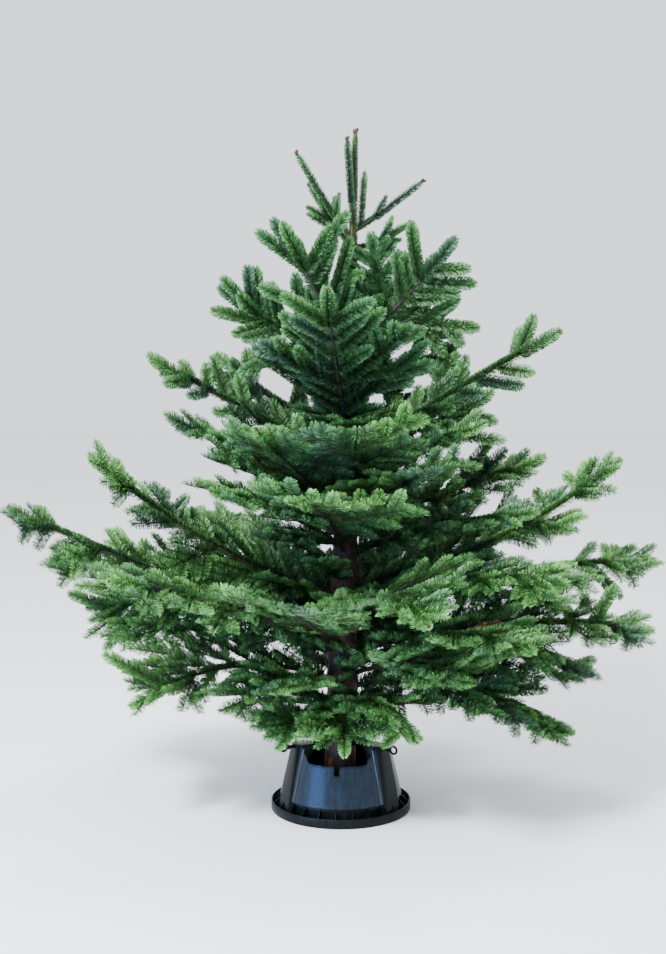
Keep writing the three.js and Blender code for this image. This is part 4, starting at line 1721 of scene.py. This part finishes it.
@dataclass
class Stand:
    """The moulded stand in mm: tray, ribbed gutter, cone with three low panels, three lobes."""

    tray_radius: float = 190.0
    tray_height: float = 26.0
    tray_wall: float = 4.0
    floor: float = 6.0
    plinth_radius: float = 158.0
    plinth_height: float = 43.0
    cone_foot: float = 165.0
    cone_top: float = 131.0
    cone_height: float = 194.0
    cone_wall: float = 4.0
    turn: float = -4.8
    sill: float = 155.0
    half_width: float = 81.0
    top_half_width: float = 100.0
    corner: float = 10.0
    notch_half: float = 7.0
    notch_depth: float = 24.0
    rib_count: int = 24
    rib_thickness: float = 2.4
    lobe_top: tuple[tuple[float, float], ...] = ((138, 19), (108, 27), (88, 22))
    lobe_foot: tuple[tuple[float, float], ...] = ((176, 30), (160, 38), (146, 38))
    hole_height: float = 187.0
    hole_radius: float = 5.5
    bead_spread: float = 14.2
    bead_splay: float = 0.4
    bead_radius: float = 1.5
    bead_step: float = 23.5
    bead_points: int = 7
    edge_softening: float = 2.2

    @property
    def lobe_azimuths(self) -> tuple[float, ...]:
        """Gives the lobes' directions from the front, in degrees."""
        return tuple(self.turn + 60 + 120 * i for i in range(3))

    def cone_radius(self, height: float) -> float:
        """Gives the cone's outer radius at a height."""
        part = (height - self.plinth_height) / (self.cone_height - self.plinth_height)
        return self.cone_foot + (self.cone_top - self.cone_foot) * part

    def opening_half(self, height: float) -> float:
        """Gives half the width of a low panel's opening at a height above its sill."""
        above = max(0.0, height - self.sill)
        if above < self.corner:
            return self.half_width - self.corner * (1 - math.sqrt(above / self.corner)) ** 2
        part = (above - self.corner) / (self.cone_height + 1 - self.sill - self.corner)
        return self.half_width + (self.top_half_width - self.half_width) * part

    def wall_top(self, offset: float) -> float:
        """Gives the wall's top edge at an angle in degrees from a panel's middle."""
        low, high = self.sill, self.cone_height
        for _ in range(24):
            middle = (low + high) / 2
            across = self.cone_radius(middle) * math.sin(math.radians(abs(offset)))
            if across > self.opening_half(middle):
                low = middle
            else:
                high = middle
        return low if low > self.sill + 0.01 else self.sill

    def columns(self) -> list[tuple[float, float]]:
        """Lists the wall's columns: azimuth from the front in degrees, and top edge.

        Returns:
            The columns once round.
        """
        notch = math.degrees(math.asin(self.notch_half / self.cone_radius(self.sill)))
        found = []
        for panel in range(3):
            middle = self.turn + 120 * panel
            offsets = [i * 2.5 for i in range(-24, 24) if abs(i * 2.5) > notch + 0.5]
            offsets += [s * (26 + 0.5 * i) for s in (-1, 1) for i in range(48)]
            found += [(middle + offset, self.wall_top(offset)) for offset in set(offsets)]
            for side in (-1, 1):
                found.append((middle + side * (notch + 0.06), self.sill))
                found.append((middle + side * (notch - 0.06), self.sill - self.notch_depth))
            found.append((middle, self.sill - self.notch_depth))
        return sorted(found)

    def profile(self, top: float) -> list[tuple[float, float]]:
        """Gives radius and height down the section of one column.

        Args:
            top: The wall's top edge.

        Returns:
            The points, from the underside outwards, up and over to the inner floor.
        """
        rim, wall = self.tray_radius, self.tray_wall
        points = [(rim - 3, 0.0), (rim - 1, 0.8), (rim, 2.6)]
        points += [(rim, self.tray_height - 1.6), (rim - 0.8, self.tray_height - 0.3)]
        points += [(rim - 2, self.tray_height), (rim - wall + 0.6, self.tray_height - 0.5)]
        points += [(rim - wall, self.tray_height - 1.8), (rim - wall - 1.2, self.floor + 1.5)]
        points += [(rim - wall - 3, self.floor)]
        foot = self.plinth_radius
        points += [(foot + 1.5, self.floor), (foot, self.floor + 1.5)]
        points += [(foot, self.plinth_height - 0.5), (foot + 0.4, self.plinth_height)]
        points += [(self.cone_foot - 0.8, self.plinth_height)]
        points += [(self.cone_foot, self.plinth_height + 0.8)]
        low = self.plinth_height + 3
        for step in range(13):
            height = low + (top - 1.5 - low) * step / 12
            points.append((self.cone_radius(height), height))
        edge, half = self.cone_radius(top), self.cone_wall / 2
        for step in range(1, 4):
            lean = math.pi * step / 4
            points.append(
                (edge - half + half * math.cos(lean), top - 1.5 + 1.5 * math.sin(lean))
            )
        for step in range(5):
            height = top - 1.5 + (self.floor + 34 - top) * step / 4
            points.append((self.cone_radius(height) - self.cone_wall, height))
        points += [(foot - self.cone_wall, self.floor + 30), (foot - self.cone_wall, self.floor)]
        return points

    def body(self) -> Object:
        """Makes the tray, the plinth and the cone as one closed shell.

        Returns:
            The object.
        """
        columns = self.columns()
        points = [stand_point(a, r, 0, z) for a, top in columns for r, z in self.profile(top)]
        count, rows = len(columns), len(self.profile(self.sill))
        faces = []
        for here, after in zip(range(0, count * rows, rows), [*range(rows, count * rows, rows), 0]):
            faces.extend(
                [here + j, after + j, after + j + 1, here + j + 1] for j in range(rows - 1)
            )
        faces.append([i * rows for i in reversed(range(count))])
        faces.append([i * rows + rows - 1 for i in range(count)])
        return closed_object("stand_shell", points, faces)

    def lobe(self, azimuth: float) -> Object:
        """Makes one lobe: a tapering six-sided buttress with softened edges.

        Args:
            azimuth: Its direction from the front, in degrees.

        Returns:
            The object.
        """
        made = bmesh.new()
        rings = []
        for outline, z in ((self.lobe_foot, self.floor - 2), (self.lobe_top, self.cone_height)):
            ring = [*outline, *((r, -t) for r, t in reversed(outline))]
            rings.append([made.verts.new(stand_point(azimuth, r, t, z) * MM) for r, t in ring])
        low, high = rings
        for i, j in zip(range(6), [1, 2, 3, 4, 5, 0]):
            made.faces.new([low[i], low[j], high[j], high[i]])
        made.faces.new(list(reversed(low)))
        made.faces.new(high)
        bmesh.ops.recalc_face_normals(made, faces=made.faces)
        edges = [e for e in made.edges if max(v.co.z for v in e.verts) > 0.1]
        soft = self.edge_softening * MM
        bmesh.ops.bevel(made, geom=edges, offset=soft, segments=3, affect="EDGES", profile=0.5)
        mesh = bpy.data.meshes.new("lobe")
        made.to_mesh(mesh)
        made.free()
        return add_object("lobe", mesh)

    def rib(self) -> Object:
        """Makes one gutter rib on the -Y side: a thin plate whose top falls to the rim.

        Returns:
            The object.
        """
        half = self.rib_thickness / 2
        inner, outer = self.plinth_radius - 1, self.tray_radius - self.tray_wall + 1
        outline = [
            (inner, self.floor - 1),
            (outer, self.floor - 1),
            (outer, self.tray_height - 3),
            (outer - 5, self.tray_height - 2),
            (self.cone_foot - 1, self.plinth_height - 1),
            (inner, self.plinth_height - 1),
        ]
        points = [Vector((s * half, -r, z)) for s in (-1, 1) for r, z in outline]
        return closed_object("rib_pattern", points, tube_faces(2, len(outline)), smooth=False)

    def bar(self, azimuth: float, inner: float, outer: float) -> Object:
        """Makes a round bar along an azimuth, to cut a screw's hole.

        Args:
            azimuth: Its direction from the front, in degrees.
            inner: Where it starts.
            outer: Where it ends.

        Returns:
            The object.
        """
        sides, points = 24, []
        for reach in (inner, outer):
            for i in range(sides):
                rim = flat(2 * math.pi * i / sides) * self.hole_radius
                points.append(stand_point(azimuth, reach, rim.x, self.hole_height + rim.y))
        return closed_object("hole", points, tube_faces(2, sides))

    def combine(self, piece: Object, other: Object, operation: str = "UNION") -> Object:
        """Joins or cuts two closed meshes.

        Args:
            piece: The mesh that is kept.
            other: The mesh that is added or taken away, and then removed.
            operation: UNION or DIFFERENCE.

        Returns:
            The plain result.
        """
        modifier = piece.modifiers.new("combine", "BOOLEAN")
        modifier.operation, modifier.solver, modifier.object = operation, "MANIFOLD", other
        result = applied(piece, piece.name + "_")
        discard(other)
        return result

    def on_panel(self, points: Iterable[Vector]) -> bool:
        """Tells whether all of a face's corners, in metres, are on the cone's polished outside."""
        for point in points:
            height = point.z / MM
            off = math.hypot(point.x, point.y) / MM - self.cone_radius(height)
            if not self.plinth_height + 2 < height < self.cone_height or abs(off) > 0.7:
                return False
        return True

    def highlight_beads(self, finish: Material) -> None:
        """Runs a pale bead up each corner between a lobe and a panel, a painted highlight along the
        edge.
        """
        points, edges = [], []
        for lobe in self.lobe_azimuths:
            for hand in (-1, 1):
                for step in range(self.bead_points):
                    height = self.plinth_height + 4 + step * self.bead_step
                    azimuth = lobe + hand * (self.bead_spread + self.bead_splay * step)
                    points.append(stand_point(azimuth, self.cone_radius(height) + 0.5, 0, height))
                    if step:
                        edges.append((len(points) - 2, len(points) - 1))
        girth = [self.bead_radius * MM] * len(points)
        piece = marked_points("bead_lines", points, edges, girth=girth)
        highlight_beads = run_tree(piece, stem_tree(), {"Sides": 8, "Finish": finish}, "edge_beads")
        highlight_beads.data.shade_smooth()
        finish_piece(highlight_beads, ["stand"])

    def build(self, finish: Material, polished: Material, dust_and_sheen: Material) -> None:
        """Makes the whole stand as one piece, and a pale bead up each of its corners, a painted
        highlight.

        Args:
            finish: The moulded plastic.
            polished: The smoother plastic of the low panels, with a bluish painted sheen in its
                colour.
            dust_and_sheen: The plastic of the corner bead, pale as a painted highlight.
        """
        made = self.body()
        for azimuth in self.lobe_azimuths:
            made = self.combine(made, self.lobe(azimuth))
        for azimuth in self.lobe_azimuths:
            made = self.combine(made, self.bar(azimuth, 80, 190), "DIFFERENCE")
        start = math.radians(self.turn)
        values = {"Count": self.rib_count, "Start Angle": start, "Finish": finish}
        made = self.combine(made, run_tree(self.rib(), ring_tree(), values, "gutter_ribs"))
        made.name = "stand_body"
        made.data.materials.clear()
        made.data.materials.append(finish)
        made.data.materials.append(polished)
        for face in made.data.polygons:
            corners = (made.data.vertices[i].co for i in face.vertices)
            face.material_index = int(self.on_panel(corners))
        made.data.shade_smooth()
        made.data.set_sharp_from_angle(angle=math.radians(32))
        finish_piece(made, ["stand"])
        self.highlight_beads(dust_and_sheen)


@dataclass
class ClampScrew:
    """One threaded clamp screw in mm, with its ring handle outside and its pad on the trunk."""

    trunk: Trunk
    azimuth: float
    height: float = 187.0
    core: float = 4.2
    thread: float = 5.0
    pitch: float = 4.0
    shaft_end: float = 160.0
    collar: float = 6.5
    collar_length: float = 8.0
    eye_middle: float = 170.0
    eye_radius: float = 10.0
    eye_wire: float = 3.0
    pad_radius: float = 9.0
    pad_length: float = 5.0
    bark_gap: float = 0.4
    sides: int = 20
    eye_steps: int = 28
    wire_sides: int = 12

    def section(self) -> list[tuple[float, float]]:
        """Gives distance along the screw and radius, from the pad's face to the eye.

        Returns:
            The section's points.
        """
        start = self.trunk.radius(self.height) + self.bark_gap
        pad = start + self.pad_length
        points = [(start, 0.0), (start, self.pad_radius - 0.8), (start + 0.8, self.pad_radius)]
        points += [(pad - 0.8, self.pad_radius), (pad, self.pad_radius - 0.8), (pad, self.thread)]
        place = pad + 1.5
        last = self.shaft_end - self.collar_length - 2
        while place < last:
            points += [(place, self.core), (place + self.pitch / 2, self.thread)]
            place += self.pitch
        collar = self.shaft_end - self.collar_length
        points += [(collar - 1, self.core), (collar, self.collar - 0.6)]
        points += [(collar + 0.8, self.collar), (self.shaft_end - 0.8, self.collar)]
        points += [(self.shaft_end, self.collar - 0.8), (self.shaft_end + 1, 0.0)]
        return points

    def build(self, finish: Material, name: str) -> None:
        """Makes the screw and its eye as one piece.

        Args:
            finish: The screw's plastic.
            name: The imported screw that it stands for.
        """
        section, sides = self.section(), self.sides
        points = []
        for reach, radius in section:
            # The thread's ridge climbs one pitch in a turn.
            threaded = self.core <= radius <= self.thread
            for i in range(sides):
                rim = flat(2 * math.pi * i / sides) * max(radius, 0.05)
                climb = self.pitch * i / sides * 0.5 if threaded else 0
                place = stand_point(self.azimuth, reach + climb, rim.x, self.height + rim.y)
                points.append(place)
        faces = tube_faces(len(section), sides)
        start, around, wire = len(points), self.eye_steps, self.wire_sides
        for i, after in zip(range(around), [*range(1, around), 0]):
            for j, beside in zip(range(wire), [*range(1, wire), 0]):
                b = 2 * math.pi * j / wire
                eye = flat(2 * math.pi * i / around)
                eye *= self.eye_radius + self.eye_wire * math.cos(b)
                aside, height = self.eye_wire * math.sin(b), self.height + eye.y
                points.append(stand_point(self.azimuth, self.eye_middle + eye.x, aside, height))
                low, high = start + i * wire, start + after * wire
                faces.append([low + j, high + j, high + beside, low + beside])
        piece = closed_object("screw_" + name[-1], points, faces, finish)
        piece.data.set_sharp_from_angle(angle=math.radians(38))
        finish_piece(piece, [name])


# ---- Studio ----


@dataclass
class Studio:
    """A pale floor and soft light, with the camera a little above the tree's middle."""

    camera_place: tuple[float, float, float] = (-0.0215, -4.2, 1.4)
    camera_pitch: float = 83.33
    lens: float = 59.7
    floor_size: float = 24.0
    sky: str = "#f6f9ff"
    sky_strength: float = 1.65
    aim: tuple[float, float, float] = (0.0, 0.0, 0.9)

    def build(self) -> None:
        """Makes the floor, the lights, the sky and the camera."""
        half = self.floor_size / 2
        corners = [(-half, -half, 0), (half, -half, 0), (half, half, 0), (-half, half, 0)]
        finish = PaintedFloorFinish("pale_floor", "#f4f5f6").material()
        mesh_object("floor", corners, [(0, 1, 2, 3)], finish, smooth=False)
        world = bpy.data.worlds.new("studio_sky")
        world.use_nodes = True
        bpy.context.scene.world = world
        background = world.node_tree.nodes["Background"]
        background.inputs["Color"].default_value = linear(self.sky)
        background.inputs["Strength"].default_value = self.sky_strength
        self.lamp("key", (-2.0, -3.4, 4.4), 1.0, 700.0)
        self.lamp("crown_light", (0.6, 0.2, 4.6), 1.2, 90.0)
        self.lamp("window", (-3.0, -2.5, 0.8), 2.0, 170.0, "#8cb9ff")
        camera = bpy.data.cameras.new("camera")
        camera.lens, camera.sensor_width = self.lens, 36.0
        made = add_object("camera", camera)
        made.location = self.camera_place
        made.rotation_euler = (math.radians(self.camera_pitch), 0.0, 0.0)
        bpy.context.scene.camera = made

    def lamp(
        self,
        name: str,
        place: tuple[float, float, float],
        size: float,
        power: float,
        colour: str = "#ffffff",
    ) -> None:
        """Adds a soft square light that faces the middle of the tree.

        Args:
            name: Its name.
            place: Where it hangs.
            size: Its side.
            power: Its power in watts.
            colour: Its light's colour.
        """
        data = bpy.data.lights.new(name, "AREA")
        data.color = linear(colour)[:3]
        data.size, data.energy = size, power
        made = add_object(name, data)
        made.location = place
        towards = Vector(self.aim) - Vector(place)
        made.rotation_euler = towards.to_track_quat("-Z", "Y").to_euler()


def node_names(start: str) -> list[str]:
    """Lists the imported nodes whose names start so."""
    return sorted(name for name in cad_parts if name.startswith(start))


def main() -> None:
    """Builds the stand, the wood and the foliage, and sets the studio round them."""
    logging.basicConfig(level=logging.INFO, format="%(name)s %(message)s")
    Studio().build()
    trunk = Trunk()
    stand = Stand()
    # Polypropylene is near black and satin as moulded, and shiny where the mould was polished;
    # there a bluish painted sheen is streaked into its colour and its reflection is tinted blue.
    # The pale bead up each corner is a painted highlight, and the screws' nylon is blacker and more
    # matt.
    moulded = MouldedPlasticFinish("moulded_polypropylene", "#080d0e", "#141c1f")
    polished = MouldedPlasticFinish(
        "polished_polypropylene", "#0a1013", "#1a2a38", 0.26, 0.46, 6.5, 0.35, "#b2cbef"
    )
    dust_and_sheen = MouldedPlasticFinish("rubbed_polypropylene", "#33454f", "#5f7c8c", 0.4, 0.4)
    stand.build(moulded.material(), polished.material(), dust_and_sheen.material())
    nylon = MouldedPlasticFinish("screw_nylon", "#080b0c", "#12181a", 0.42).material()
    for i, azimuth in enumerate(stand.lobe_azimuths):
        ClampScrew(trunk, azimuth).build(nylon, f"clamp_screw_{i + 1}")
    boughs = [Bough(*sizes, seed=1000 * (i + 1)) for i, sizes in enumerate(BOUGH_SIZES)]
    lines = [BoughLine(bough, trunk) for bough in boughs]
    growth = Growth()
    for line in lines:
        growth.bough(line)
    growth.trunk_shoots(trunk)
    growth.leader(trunk)
    total = sum(path_length(shoot.points) for shoot in growth.shoots)
    LOG.info("%d shoots, %.0f m of them", len(growth.shoots), total / 1000)
    # Old bark is dull and purple-brown, and shaded limbs and twigs are nearly black; peeled bark
    # bares raw orange wood, and resin gives the bud scales a slight shine.
    bark = BarkFinish("fir_bark", "#211814", "#523e35", young="#434a27")
    limb_bark = BarkFinish("fir_limb_bark", "#120d0a", "#30251f")
    peeled = BarkFinish("peeled_inner_bark", "#7a3413", "#c8672e", 3.0, 0.3)
    bud_scales = BarkFinish("bud_scales", "#1f0f0b", "#43241a", 2.0, 0.2, 0.6)
    twig_bark = BarkFinish("twig_bark", "#110c08", "#2c2116", 4.0, 0.3)
    Woodwork(trunk, lines).build(bark.material(), limb_bark.material())
    PeeledStrip(trunk).build(peeled.material())
    foliage = Foliage(growth, node_names("mass_"))
    foliage.build_twigs(twig_bark.material())
    foliage.build_buds(bud_scales.material())
    foliage.build_needles()


if __name__ == "__main__":
    main()
